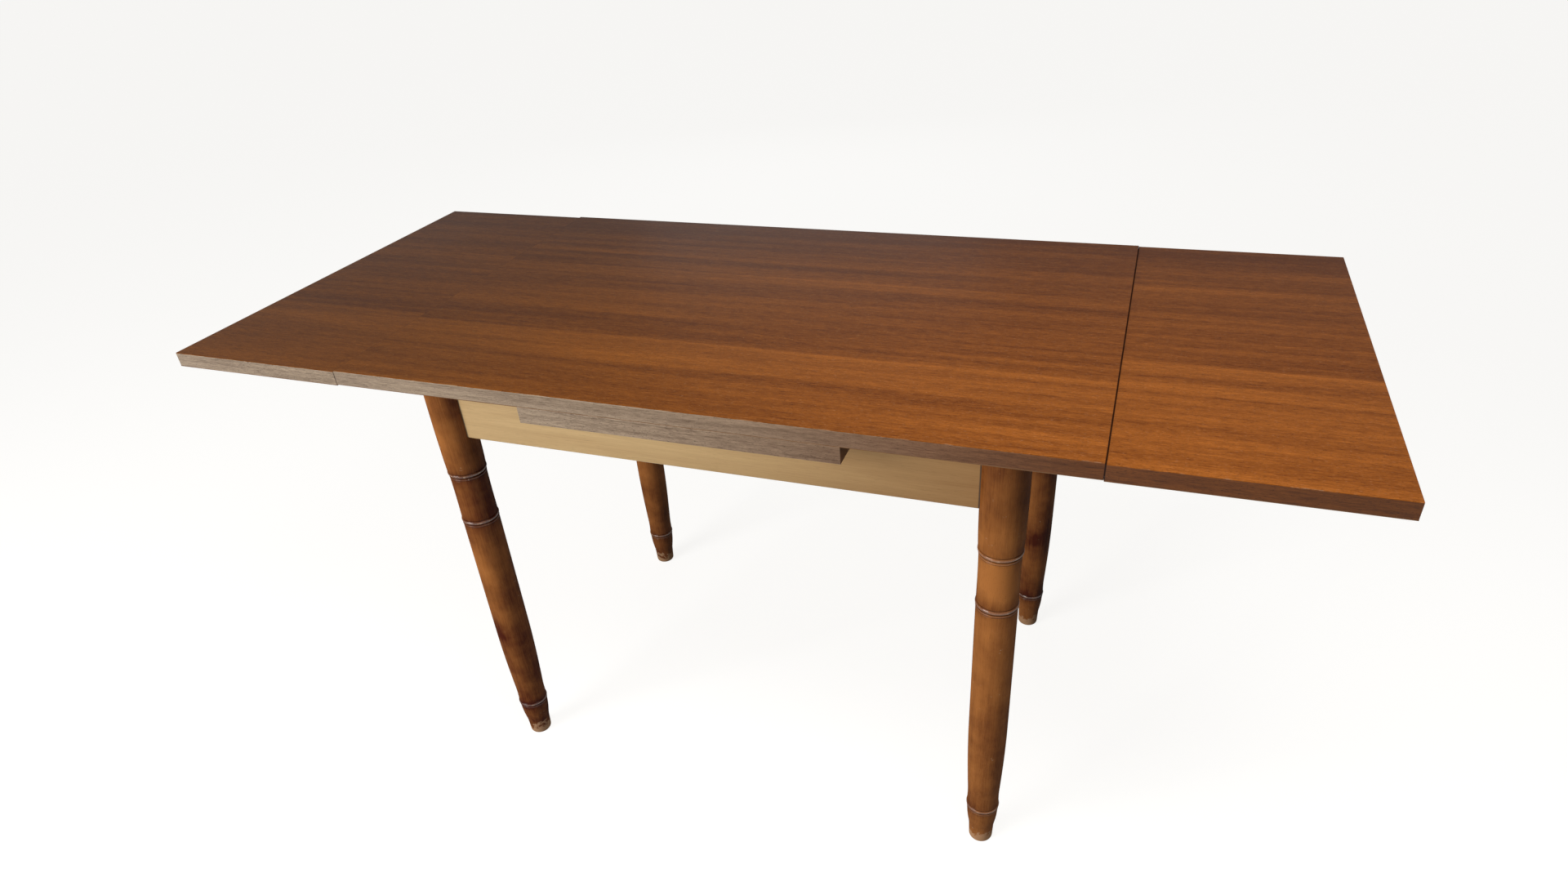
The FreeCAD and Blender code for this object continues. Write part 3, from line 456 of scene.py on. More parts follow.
def rounded_board(name, low, high, corner, arris):
    """A flat board between two corners, with rounded upright corners and a rounded arris.

    Each ring is the board's outline pulled in by an inset d and set at a height z. Going
    down, (d, z) comes out over the top, turns a quarter circle, goes down the side, turns a
    second quarter circle and goes in underneath.
    """
    quarter = np.linspace(0, math.pi / 2, ARC_POINTS)
    d_arc, z_arc = arris * (1 - np.sin(quarter)), arris * (1 - np.cos(quarter))
    flat_end = [corner * FLAT_SHARE]
    side = min(arris + SIDE_ROW, (high[2] - low[2]) / 2 - SIDE_LEFT)
    inset = np.concatenate((flat_end, d_arc, [0, 0], d_arc[::-1], flat_end))
    height = np.concatenate(
        ([high[2]], high[2] - z_arc, [high[2] - side, low[2] + side], (low[2] + z_arc)[::-1], [low[2]])
    )
    theta = quarter + np.arange(4)[:, None] * math.pi / 2
    sign = np.array(((1, 1), (-1, 1), (-1, -1), (1, -1)))[:, None, :]
    low_xy, high_xy = np.array(low[:2]), np.array(high[:2])
    centre, half = (high_xy + low_xy) / 2, (high_xy - low_xy) / 2
    ends = np.stack((np.cos(theta), np.sin(theta)), -1)
    flat = centre + sign * (half - corner) + ends * (corner - inset[:, None, None, None])
    rings = np.empty((len(inset), 4 * ARC_POINTS, 3))
    rings[..., :2] = flat.reshape(len(inset), -1, 2)
    rings[..., 2] = height[:, None]
    piece = closed_surface(name, rings)
    edge = np.ones(rings.shape[:2])
    edge[[0, ARC_POINTS + 1, ARC_POINTS + 2, -1]] = 0
    give(piece, "edge", edge.ravel())
    return piece, rings.reshape(-1, 3)


# Shader helpers

# The colour sockets of a Mix node: the two that go in and the one that comes out.
MIX_ONE, MIX_OTHER, MIX_RESULT = 6, 7, 2


def fill(tree, node, values):
    """Links a node's sockets to other sockets, or gives them plain values."""
    for key, value in values.items():
        socket = node.inputs[key]
        if isinstance(value, bpy.types.NodeSocket):
            tree.links.new(value, socket)
        elif socket.type == "RGBA":
            socket.default_value = tuple(value)[:3] + (1.0,)
        else:
            socket.default_value = value
    return node


def add(tree, kind, values=None, **settings):
    """A node of a kind, with its settings and what its sockets get."""
    node = tree.nodes.new("ShaderNode" + kind)
    for key, value in settings.items():
        setattr(node, key, value)
    return fill(tree, node, values or {})


def sums(tree, operation, *values):
    """One step of arithmetic, with numbers or sockets."""
    return add(tree, "Math", dict(enumerate(values)), operation=operation).outputs[0]


def centred(tree, value):
    """A value from 0 to 1, moved to lie about zero."""
    return sums(tree, "SUBTRACT", value, 0.5)


def between(tree, value, low, high, new_low=0.0, new_high=1.0, smooth=False):
    """A value spread from one range to another and held inside it."""
    values = {"Value": value, "From Min": low, "From Max": high, "To Min": new_low, "To Max": new_high}
    kind = "SMOOTHSTEP" if smooth else "LINEAR"
    return add(tree, "MapRange", values, interpolation_type=kind, clamp=True).outputs["Result"]


def blend(tree, factor, one, other, way="MIX"):
    """Two colours mixed by a factor."""
    values = {"Factor": factor, MIX_ONE: one, MIX_OTHER: other}
    node = add(tree, "Mix", values, data_type="RGBA", blend_type=way, clamp_factor=True)
    return node.outputs[MIX_RESULT]


def ramp_of(tree, value, levels):
    """Grey levels by a value from 0 to 1, given as (value, level) in rising order."""
    ramp = add(tree, "ValToRGB", {"Fac": value})
    stops = ramp.color_ramp.elements
    for index, (at, _) in enumerate(levels):
        stop = stops[index] if index < 2 else stops.new(1.0)
        stop.position = at
    for (_, level), stop in zip(levels, sorted(stops, key=lambda s: s.position)):
        stop.color = (level, level, level, 1.0)
    return ramp.outputs["Color"]


def noise(tree, place, scale, detail, roughness=0.5):
    """Soft noise from 0 to 1, its scale in lumps to the metre."""
    values = {"Vector": place, "Scale": scale, "Detail": detail, "Roughness": roughness}
    return add(tree, "TexNoise", values).outputs[0]


def own_place(tree, turn=ALONG_X):
    """A node's own coordinates, turned so that the first runs along the grain."""
    coordinates = add(tree, "TexCoord").outputs["Object"]
    return add(tree, "Mapping", {"Vector": coordinates, "Rotation": turn}).outputs[0]


def one_way(tree, place, axis):
    """One of a place's three coordinates."""
    return add(tree, "SeparateXYZ", {"Vector": place}).outputs[axis]


def kept(tree, name, what="Fac"):
    """What a piece keeps with its points under a name."""
    return add(tree, "Attribute", attribute_name=name).outputs[what]


# Effects that the materials share, each group built once


def use(tree, group, values):
    """A shared effect with its own values here."""
    return add(tree, "Group", values, node_tree=group()).outputs


# The kinds of those sockets that don't hold a plain number.
SOCKET_KINDS = {
    "Place": "Vector", "Color": "Color", "Dark": "Color", "Bright": "Color", "Deeper": "Color",
}


def node_group(name, inputs, outputs):
    """An empty group with named sockets, and the nodes at its two ends."""
    tree = bpy.data.node_groups.new(name, "ShaderNodeTree")
    for way, labels in (("INPUT", inputs), ("OUTPUT", outputs)):
        for label in labels:
            kind = "NodeSocket" + SOCKET_KINDS.get(label, "Float")
            tree.interface.new_socket(label, in_out=way, socket_type=kind)
    return tree, tree.nodes.new("NodeGroupInput").outputs, tree.nodes.new("NodeGroupOutput")


@cache
def streak_group():
    """Long thin streaks: smooth noise on a place divided by the streaks' length and width."""
    tree, given, end = node_group("streaks", ("Place", "Length", "Width"), ("Value",))
    along = sums(tree, "DIVIDE", 1.0, given["Length"])
    across = sums(tree, "DIVIDE", 1.0, given["Width"])
    scale = add(tree, "CombineXYZ", {"X": along, "Y": across, "Z": across}).outputs[0]
    place = add(tree, "VectorMath", {0: given["Place"], 1: scale}, operation="MULTIPLY").outputs[0]
    fill(tree, end, {"Value": noise(tree, place, 1.0, 2.0, 0.55)})
    return tree


@cache
def wood_group():
    """Wood cut along its grain: a tone between two colours, moved by broad bands and by
    fibres of two sizes, with short dark pores and short pale flecks on it."""
    thin_strength, pore_depth, fleck_strength, relief = 0.7, 0.55, 0.35, 0.35
    inputs = ("Place", "Tone", "Dark", "Bright", *FRAME_FIGURE)
    tree, given, end = node_group("wood figure", inputs, ("Color", "Height", "Tone"))

    def times(value, share):
        return sums(tree, "MULTIPLY", given[value], share)

    def streak(long, wide):
        return use(tree, streak_group, {"Place": given["Place"], "Length": long, "Width": wide})["Value"]

    def fine_streak(shares):
        return streak(times("Fibre length", shares[0]), times("Fibre width", shares[1]))

    broad = centred(tree, streak(times("Band width", BAND_LENGTH), given["Band width"]))
    fibre = centred(tree, streak(given["Fibre length"], given["Fibre width"]))
    thin = centred(tree, fine_streak(THIN_FIBRE_SHARES))
    tone = sums(tree, "MULTIPLY_ADD", broad, given["Bands"], given["Tone"])
    tone = sums(tree, "MULTIPLY_ADD", fibre, given["Fibres"], tone)
    tone = sums(tree, "MULTIPLY_ADD", thin, times("Fibres", thin_strength), tone)
    tone = between(tree, tone, 0.0, 1.0)
    colour = blend(tree, tone, given["Dark"], given["Bright"])
    pore = between(tree, fine_streak(PORE_SHARES), 0.60, 0.72)
    pore = sums(tree, "MULTIPLY", pore, given["Pores"])
    deep = blend(tree, pore_depth, given["Dark"], PORE_DARK)
    colour = blend(tree, pore, colour, deep)
    fleck = between(tree, fine_streak(FLECK_SHARES), 0.62, 0.74)
    fleck = sums(tree, "MULTIPLY", fleck, given["Flecks"])
    light = blend(tree, fleck_strength, given["Bright"], FLECK_LIGHT)
    colour = blend(tree, fleck, colour, light)
    height = sums(tree, "MULTIPLY_ADD", tone, relief, sums(tree, "MULTIPLY", pore, -1.0))
    fill(tree, end, {"Color": colour, "Height": height, "Tone": tone})
    return tree


@cache
def wear_group():
    """Where hands and feet rub: a mask that is 1 on worn spots. The nearer Edge is to 1 and
    the larger Amount, the lower the noise that a spot needs."""
    unworn_need, eased = 0.82, 0.5
    tree, given, end = node_group("wear", ("Place", "Edge", "Amount", "Spots"), ("Mask",))
    lumps = noise(tree, given["Place"], sums(tree, "DIVIDE", 1.0, given["Spots"]), 4.0, 0.65)
    reach = sums(tree, "MULTIPLY", given["Edge"], given["Amount"])
    need = sums(tree, "SUBTRACT", unworn_need, sums(tree, "MULTIPLY", reach, eased))
    over = sums(tree, "SUBTRACT", lumps, need)
    fill(tree, end, {"Mask": between(tree, over, -0.03, 0.06)})
    return tree


@cache
def handling_group():
    """Uneven gloss: a roughness that drifts in wide soft patches and fine smears."""
    tree, given, end = node_group("handling", ("Place", "Roughness", "Amount"), ("Roughness",))
    wide = noise(tree, given["Place"], 6.0, 2.0)
    fine = noise(tree, given["Place"], 90.0, 3.0)
    drift = sums(tree, "MULTIPLY_ADD", fine, 0.4, sums(tree, "MULTIPLY", wide, 0.6))
    drift = sums(tree, "MULTIPLY_ADD", centred(tree, drift), given["Amount"], given["Roughness"])
    fill(tree, end, {"Roughness": drift})
    return tree


@cache
def light_falloff_group():
    """Painted light falloff: a colour that deepens along the table, from its own tone to a deeper one,
    standing in for light that falls off along the table.
    """
    tree, given, end = node_group("fading", ("Color", "Deeper", "From", "To"), ("Color",))
    place = own_place(tree)
    drift = centred(tree, noise(tree, place, 2.5, 1.0))
    along = sums(tree, "MULTIPLY_ADD", drift, 0.2, one_way(tree, place, "X"))
    mask = between(tree, along, given["From"], given["To"], smooth=True)
    fill(tree, end, {"Color": blend(tree, mask, given["Color"], given["Deeper"], "MULTIPLY")})
    return tree


@cache
def seam_shade_group():
    """Painted shade: a dark line on both sides of the seams between the main top and the leaves, standing
    in for the shadow in the gap, fainter at the left seam, which shuts tighter. The line is also duller."""
    tree, given, end = node_group("seam line", ("Color", "Roughness"), ("Color", "Roughness"))
    middle = (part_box("main_top_laminate")[1].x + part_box("right_leaf_laminate")[0].x) / 2
    along = one_way(tree, own_place(tree), "X")
    away = sums(tree, "ABSOLUTE", sums(tree, "SUBTRACT", sums(tree, "ABSOLUTE", along), middle))
    mask = between(tree, away, *SEAM_SHADE_FADES, SEAM_SHADE_DEPTH, 0.0, smooth=True)
    mask = sums(tree, "MULTIPLY", mask, between(tree, along, *SEAM_SHADE_CHANGES, LEFT_SEAM_SHADE_SHARE, 1.0))
    colour = blend(tree, mask, given["Color"], SEAM_SHADE_DARK)
    roughness = sums(tree, "MAXIMUM", given["Roughness"], mask)
    fill(tree, end, {"Color": colour, "Roughness": roughness})
    return tree


def wooden(tree, place, dark, bright, tone, marks):
    """The wood figure between two colours."""
    return use(tree, wood_group, {"Place": place, "Dark": dark, "Bright": bright, "Tone": tone, **marks})


def worn_spots(tree, place, edge, amount, spots):
    """A mask of the spots that wear has reached."""
    return use(tree, wear_group, {"Place": place, "Edge": edge, "Amount": amount, "Spots": spots})["Mask"]


def painted_falloff(tree, colour, deeper, ends):
    """Painted light falloff: a colour that deepens from the first of two places along the table to the
    second.
    """
    values = {"Color": colour, "Deeper": deeper, "From": ends[0], "To": ends[1]}
    return use(tree, light_falloff_group, values)["Color"]


def new_material(name, values):
    """A material with one plain shader, its tree and that shader."""
    made = bpy.data.materials.new(name)
    made.use_nodes = True
    tree = made.node_tree
    return made, tree, fill(tree, tree.nodes["Principled BSDF"], values)


def finish_surface(tree, shader, place, relief, roughness, bump, uneven=0.1, depth=0.2 * MM):
    """Feeds uneven gloss and a fine relief to the shader."""
    values = {"Place": place, "Roughness": roughness, "Amount": uneven}
    gloss = use(tree, handling_group, values)["Roughness"]
    normal = add(tree, "Bump", {"Height": relief, "Strength": bump, "Distance": depth}).outputs[0]
    fill(tree, shader, {"Roughness": gloss, "Normal": normal})
    return gloss


def paint_seam_shade(tree, shader, colour, roughness):
    """Feeds a board's colour to the shader, with painted seam shade: darker and duller where it meets the
    next board.
    """
    seam = use(tree, seam_shade_group, {"Color": colour, "Roughness": roughness})
    fill(tree, shader, {"Base Color": seam["Color"], "Roughness": seam["Roughness"]})


def plain_wood(name, dark, pale, turn=ALONG_X, rough=0.55, tone=0.62, falloff_shade=None, joint=None,
               marks=FRAME_FIGURE):
    """Wood of one kind on the frame's own pieces, grain along the turned first axis. It may carry painted
    light falloff along the table, and painted shade in the joint that lies this far from the middle."""
    made, tree, shader = new_material(name, {"Specular IOR Level": 0.35})
    place = own_place(tree, turn)
    wood = wooden(tree, place, dark, pale, tone, marks)
    colour = wood["Color"]
    if falloff_shade:
        # Painted light falloff along the table.
        colour = painted_falloff(tree, colour, falloff_shade, APRON_FALLOFF)
    if joint:
        aside = sums(tree, "ABSOLUTE", one_way(tree, own_place(tree), "X"))
        joint_shade = between(tree, aside, joint - JOINT_SHADE_FADES[0], joint - JOINT_SHADE_FADES[1])
        # Painted shade in the joint with the leg.
        colour = blend(tree, sums(tree, "MULTIPLY", joint_shade, JOINT_SHADE_DEPTH), colour, JOINT_SHADE_DARK)
    fill(tree, shader, {"Base Color": colour})
    finish_surface(tree, shader, place, wood["Height"], rough, bump=0.25)
    return made


def leg_lacquer(look):
    """Brown lacquer over turned wood: cloudy stain, with painted shade on some legs, dark in the grooves
    from stain and painted shade, deeper beside the rings, a painted highlight and bright gloss on the
    beads, worn pale feet and a few pale nicks."""
    plain = {"Specular IOR Level": 0.0, "Coat Roughness": 0.17}
    made, tree, shader = new_material("leg lacquer", plain)
    place = kept(tree, "grain", "Vector")
    groove, crest, tip, shade = (kept(tree, name) for name in ("groove", "crest", "tip", "shade"))

    def share(value, name):
        return sums(tree, "MULTIPLY", value, LACQUER[name])

    small = share(noise(tree, place, 18.0, 3.0, 0.6), "small cloud")
    cloud = sums(tree, "MULTIPLY_ADD", noise(tree, place, 7.0, 1.0), LACQUER["wide cloud"], small)
    cloud = sums(tree, "SUBTRACT", cloud, LACQUER["cloud middle"])
    tone = sums(tree, "MULTIPLY_ADD", cloud, LACQUER["cloud"], LACQUER["tone"])
    tone = sums(tree, "MULTIPLY_ADD", shade, LACQUER["shade"], tone)
    wood = wooden(tree, place, look.deep, look.pale, tone, LEG_FIGURE)
    rubbed = sums(tree, "MAXIMUM", share(crest, "crest rub"), share(tip, "tip rub"))
    worn = worn_spots(tree, place, rubbed, amount=0.8, spots=0.012)
    nicks = worn_spots(tree, place, edge=0.42, amount=0.5, spots=0.009)
    bare = blend(tree, 0.5, look.pale, BARE_LEG)
    # The grooves: stain gathered there, with painted shade.
    colour = blend(tree, share(groove, "groove"), wood["Color"], look.groove_stain_and_shade)
    colour = blend(tree, share(worn, "worn"), colour, bare)
    # A painted highlight on the bead crests, paler and greyer.
    colour = blend(tree, share(crest, "crest painted highlight"), colour, CREST_PAINTED_HIGHLIGHT)
    colour = blend(tree, share(nicks, "nick"), colour, LEG_NICK)
    facing = sums(tree, "SUBTRACT", 1.0, add(tree, "LayerWeight", {"Blend": 0.5}).outputs["Facing"])
    gloss = sums(tree, "MULTIPLY_ADD", crest, LACQUER["crest gloss"], LACQUER["plain gloss"])
    fill(tree, shader, {"Base Color": colour, "Coat Weight": sums(tree, "MULTIPLY", gloss, facing)})
    finish_surface(tree, shader, place, wood["Height"], roughness=0.4, bump=0.12, uneven=0.12)
    return made


def top_veneer(look):
    """The top's veneer: strips of wood side by side, straight fibres, pores and flecks."""
    made, tree, shader = new_material("top veneer", {"Specular IOR Level": 0.015})
    place = kept(tree, "grain", "Vector")
    wander = centred(tree, use(tree, streak_group, {"Place": place, "Length": 0.9, "Width": 0.5})["Value"])
    across = sums(tree, "MULTIPLY_ADD", wander, 0.006, one_way(tree, place, "Y"))
    low, high = VENEER_STRIPS[0][0], VENEER_STRIPS[-1][0]
    levels = [((at - low) / (high - low), tone * STRIP_STRENGTH) for at, tone in VENEER_STRIPS]
    strips = ramp_of(tree, between(tree, across, low, high), levels)
    wood = wooden(tree, place, look.dark, look.bright, strips, VENEER_FIGURE)
    worn = worn_spots(tree, place, kept(tree, "edge"), amount=0.5, spots=0.03)
    bare = blend(tree, 0.6, look.bright, look.band_pale)
    colour = blend(tree, sums(tree, "MULTIPLY", worn, 0.6), wood["Color"], bare)
    # Painted shade: the veneer deepens towards the left end.
    colour = painted_falloff(tree, colour, look.left_painted_shade, VENEER_FALLOFF)
    roughness = finish_surface(tree, shader, place, wood["Height"], roughness=0.33, bump=0.10)
    # Painted shade beside the seams.
    paint_seam_shade(tree, shader, colour, roughness)
    return made


def edge_band(look):
    """The boards' edge bands: long grey-beige streaks with short dark ticks."""
    made, tree, shader = new_material("edge band", {"Specular IOR Level": 0.25})
    place = kept(tree, "grain", "Vector")
    wood = wooden(tree, place, look.band_dark, look.band_pale, tone=0.56, marks=BAND_FIGURE)
    worn = worn_spots(tree, place, kept(tree, "edge"), amount=0.7, spots=0.02)
    colour = blend(tree, sums(tree, "MULTIPLY", worn, 0.5), wood["Color"], BARE_BAND)
    # Painted light falloff: the bands deepen towards the right end.
    colour = painted_falloff(tree, colour, look.band_painted_shade, BAND_FALLOFF)
    roughness = finish_surface(tree, shader, place, wood["Height"], roughness=0.42, bump=0.2)
    # Painted shade beside the seams.
    paint_seam_shade(tree, shader, colour, roughness)
    return made


def chip_core(look):
    """Chipboard: flat flakes of several tones, each a cell of a cell pattern."""
    made, tree, shader = new_material("chip core", {"Specular IOR Level": 0.2})
    place = own_place(tree)
    flat = (1.0, 1.0, 2.6)
    stretched = add(tree, "VectorMath", {0: place, 1: flat}, operation="MULTIPLY").outputs[0]
    cells = add(tree, "TexVoronoi", {"Vector": stretched, "Scale": 420.0})
    tone = add(tree, "SeparateColor", {"Color": cells.outputs["Color"]}).outputs[0]
    fill(tree, shader, {"Base Color": blend(tree, tone, look.core_dark, look.core_pale)})
    finish_surface(tree, shader, place, tone, roughness=0.82, bump=0.3, uneven=0.15, depth=0.3 * MM)
    return made


def board_backing(look):
    """The plain brown sheet under a board: faint fibres and a dull surface."""
    dark = tuple(v * 0.62 for v in look.backing)
    return plain_wood("board backing", dark, look.backing, rough=0.6, marks=BACKING_FIGURE)


def centre_board_wood(look):
    """The fixed board between the leaves: pale long grain, dark sealed ends."""
    made, tree, shader = new_material("centre board wood", {"Specular IOR Level": 0.3})
    place = own_place(tree, ALONG_Y)
    wood = wooden(tree, place, look.wood_dark, look.wood_pale, tone=0.5, marks=CENTRE_BOARD_FIGURE)
    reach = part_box("centre_board")[1].x
    side = sums(tree, "ABSOLUTE", one_way(tree, own_place(tree), "X"))
    end = between(tree, side, reach - SEALED_FADES[0], reach - SEALED_FADES[1])
    sealed = blend(tree, wood["Tone"], SEALED_DARK, SEALED_PALE)
    fill(tree, shader, {"Base Color": blend(tree, end, wood["Color"], sealed)})
    finish_surface(tree, shader, place, wood["Height"], roughness=0.6, bump=0.25)
    return made


def plated_steel(look):
    """Plated screw steel with a fine turned brushing."""
    made, tree, shader = new_material("screw steel", {"Metallic": 0.9})
    place = own_place(tree)
    streak = use(tree, streak_group, {"Place": place, "Length": 0.004, "Width": 0.0002})["Value"]
    dull = tuple(v * 0.6 for v in look.steel)
    normal = add(tree, "Bump", {"Height": streak, "Strength": 0.1, "Distance": 0.1 * MM}).outputs[0]
    fill(tree, shader, {
        "Base Color": blend(tree, streak, dull, look.steel),
        "Roughness": between(tree, streak, 0.2, 0.8, new_low=0.28, new_high=0.5),
        "Normal": normal,
    })
    return made


def paint(finish, *nodes):
    """Puts a finish on the frame's own pieces."""
    for name in nodes:
        mesh = frame["nodes"][name].data
        mesh.materials.clear()
        mesh.materials.append(finish)


def paint_wood(look, name, turn, *nodes):
    """Puts the frame's plain wood, its grain turned, on some of the frame's own pieces."""
    paint(plain_wood(name, look.wood_dark, look.wood_pale, turn), *nodes)


def nodes_ending(words):
    """The frame's nodes whose names end in these words."""
    return [name for name in frame["nodes"] if name.endswith(words)]


# Operators


class TABLE_OT_legs(bpy.types.Operator):
    """Turns the four legs and lacquers them"""

    bl_idname = "dining_table.legs"
    bl_label = "Turned legs"

    def execute(self, context):
        sizes = context.scene.dining_table_legs
        finish = leg_lacquer(sizes)
        for number, (name, stain_and_shade_shares) in enumerate(LEG_STAIN_AND_SHADE_SHARES.items()):
            low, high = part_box(name)
            x, y = (low.x + high.x) / 2, (low.y + high.y) / 2
            turn = NEXT_TURN * number + FIRST_TURN
            piece = turned_leg(name + "_turned", x, y, sizes, turn, stain_and_shade_shares)
            dress(piece, finish, "frame", "leg_wood", name)
        return {"FINISHED"}


class TABLE_OT_sheets(bpy.types.Operator):
    """Lays the veneer sheets on the main top and the two leaves"""

    bl_idname = "dining_table.sheets"
    bl_label = "Veneer sheets"

    def execute(self, context):
        sizes = context.scene.dining_table_boards
        finish = top_veneer(sizes)
        for board, (along, back) in SHEET_SHIFTS.items():
            node = board + "_laminate"
            low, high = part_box(node)
            piece, points = rounded_board(board + "_veneer", low, high, sizes.corner, sizes.sheet_arris)
            give(piece, "grain", points + (along, -back, 0.0))
            dress(piece, finish, board, "top_laminate", node)
        return {"FINISHED"}


class TABLE_OT_bands(bpy.types.Operator):
    """Puts the edge bands round every board"""

    bl_idname = "dining_table.bands"
    bl_label = "Edge bands"

    def execute(self, context):
        sizes = context.scene.dining_table_boards
        finish = edge_band(sizes)
        for number, node in enumerate(sorted(nodes_ending("_edging"))):
            low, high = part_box(node)
            if node == "right_leaf_left_edging":
                low.x -= sizes.seam_fill
            if node == "left_leaf_right_edging":
                high.x += sizes.seam_fill
            name = node.removesuffix("_edging") + "_band"
            piece, points = rounded_board(name, low, high, BAND_CORNER, sizes.band_arris)
            if high.y - low.y > high.x - low.x:
                points = points[:, (1, 0, 2)]
            give(piece, "grain", points + number * BAND_SHIFT)
            dress(piece, finish, frame["nodes"][node]["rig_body"], "top_edging", node)
        return {"FINISHED"}


class TABLE_OT_boards(bpy.types.Operator):
    """Finishes the board cores, their backings and the centre board"""

    bl_idname = "dining_table.boards"
    bl_label = "Cores and backings"

    def execute(self, context):
        look = context.scene.dining_table_boards
        paint(chip_core(look), *nodes_ending("_core"))
        paint(board_backing(look), *nodes_ending("_backing"))
        paint(centre_board_wood(context.scene.dining_table_frame), "centre_board")
        return {"FINISHED"}


class TABLE_OT_frame(bpy.types.Operator):
    """Finishes the aprons, cross rails, dowels and corner blocks"""

    bl_idname = "dining_table.frame"
    bl_label = "Aprons and rails"

    def execute(self, context):
        look = context.scene.dining_table_frame
        # The aprons' painted light falloff deepens them to the right.
        apron = {
            "dark": look.apron_dark, "pale": look.apron_pale, "rough": 0.45, "tone": 0.68,
            "falloff_shade": tuple(look.apron_painted_shade), "marks": APRON_FIGURE,
        }
        # Where a leg's turned face comes out of the apron's outer face, seen from the front.
        low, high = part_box("front_right_leg")
        radius, back = (high.x - low.x) / 2, (high.y + low.y) / 2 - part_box("front_apron")[0].y
        joint = (high.x + low.x) / 2 - math.sqrt(radius**2 - back**2)
        # The front and back aprons get painted shade where the legs meet them.
        paint(plain_wood("apron wood", joint=joint, **apron), "front_apron", "back_apron")
        paint(plain_wood("end apron wood", turn=ALONG_Y, **apron), "left_end_apron", "right_end_apron")
        paint_wood(look, "cross wood", ALONG_Y, *nodes_ending("_cross_rail"), "cross_rail_dowels")
        paint_wood(look, "block wood", UPRIGHT, *nodes_ending("corner_block"))
        return {"FINISHED"}


class TABLE_OT_slides(bpy.types.Operator):
    """Finishes the leaves' bearers and pegs and the main top's guide pegs"""

    bl_idname = "dining_table.slides"
    bl_label = "Bearers and pegs"

    def execute(self, context):
        look = context.scene.dining_table_frame
        paint_wood(look, "bearer wood", ALONG_X, *nodes_ending("_bearer"))
        paint_wood(look, "peg wood", ALONG_Y, *nodes_ending("_stop_pegs"))
        guides = nodes_ending("_guide_peg") + nodes_ending("_guide_button")
        paint_wood(look, "guide wood", UPRIGHT, *guides)
        return {"FINISHED"}


class TABLE_OT_screws(bpy.types.Operator):
    """Finishes the screws"""

    bl_idname = "dining_table.screws"
    bl_label = "Screws"

    def execute(self, context):
        paint(plated_steel(context.scene.dining_table_frame), *nodes_ending("_screws"))
        return {"FINISHED"}


def set_down(name, data, right, up, away, place):
    """An object with its own x, y and z along three directions, at a place."""
    made = new_object(name, data)
    made.matrix_world = Matrix(
        [[right[i], up[i], away[i], place[i]] for i in range(3)] + [[0, 0, 0, 1]]
    )
    return made


def lamp(name, watts, place, target, width, depth, spread, colour):
    """A soft rectangular lamp at a place, turned towards a target."""
    data = bpy.data.lights.new(name, "AREA")
    data.shape, data.size, data.size_y = "RECTANGLE", width, depth
    data.energy, data.color, data.spread = watts, colour, math.radians(spread)
    away = np.subtract(place, target)
    away /= np.linalg.norm(away)
    right = np.cross((0.0, 0.0, 1.0), away)
    right /= np.linalg.norm(right)
    set_down(name, data, right, np.cross(away, right), away, place).visible_camera = False


def camera():
    """The camera, turned by yaw from straight back, then pitch down and roll."""
    yaw, pitch, roll = CAMERA_TURNS
    ahead = np.array((math.sin(yaw) * math.cos(pitch), math.cos(yaw) * math.cos(pitch), -math.sin(pitch)))
    level = np.array((math.cos(yaw), -math.sin(yaw), 0.0))
    down = -np.cross(level, ahead)
    right = math.cos(roll) * level + math.sin(roll) * down
    down = -math.sin(roll) * level + math.cos(roll) * down
    data = bpy.data.cameras.new("camera")
    data.sensor_width = 36.0
    data.lens = CAMERA_LENS * data.sensor_width / FRAME_WIDTH
    data.shift_x = (FRAME_WIDTH / 2 - CAMERA_CENTRE[0]) / FRAME_WIDTH
    data.shift_y = (CAMERA_CENTRE[1] - FRAME_HEIGHT / 2) / FRAME_WIDTH
    data.clip_start, data.clip_end = 0.05, 200.0
    bpy.context.scene.camera = set_down("camera", data, right, -down, -ahead, CAMERA_PLACE)


def sight(tree):
    """1 where a ray comes from the camera, a reflection or through glass, otherwise 0."""
    path = add(tree, "LightPath").outputs
    mirrored = sums(tree, "MAXIMUM", path["Is Glossy Ray"], path["Is Transmission Ray"])
    return sums(tree, "MAXIMUM", path["Is Camera Ray"], mirrored)


def studio_floor(look):
    """A round pale floor: rings of points about the centre, wider apart further out."""
    rings = np.zeros((len(FLOOR_RADII), FLOOR_SIDES, 3))
    rings[..., :2] = FLOOR_RADII[:, None, None] * circle(FLOOR_SIDES)
    mesh = bpy.data.meshes.new("floor")
    mesh.from_pydata(rings.reshape(-1, 3).tolist(), [], ring_faces(rings) + [list(range(FLOOR_SIDES))])
    made = bpy.data.materials.new("floor")
    made.use_nodes = True
    tree = made.node_tree
    tree.nodes.clear()
    matt = add(tree, "BsdfDiffuse", {"Color": tuple(v * FLOOR_MATT for v in look.floor)})
    glow = add(tree, "Emission", {"Color": look.floor, "Strength": FLOOR_GLOW})
    dark = add(tree, "Emission", {"Strength": 0.0})
    lift = add(tree, "MixShader", {0: sight(tree), 1: dark.outputs[0], 2: glow.outputs[0]})
    total = add(tree, "AddShader", {0: matt.outputs[0], 1: lift.outputs[0]})
    add(tree, "OutputMaterial", {"Surface": total.outputs[0]})
    mesh.materials.append(made)
    new_object("floor", mesh)


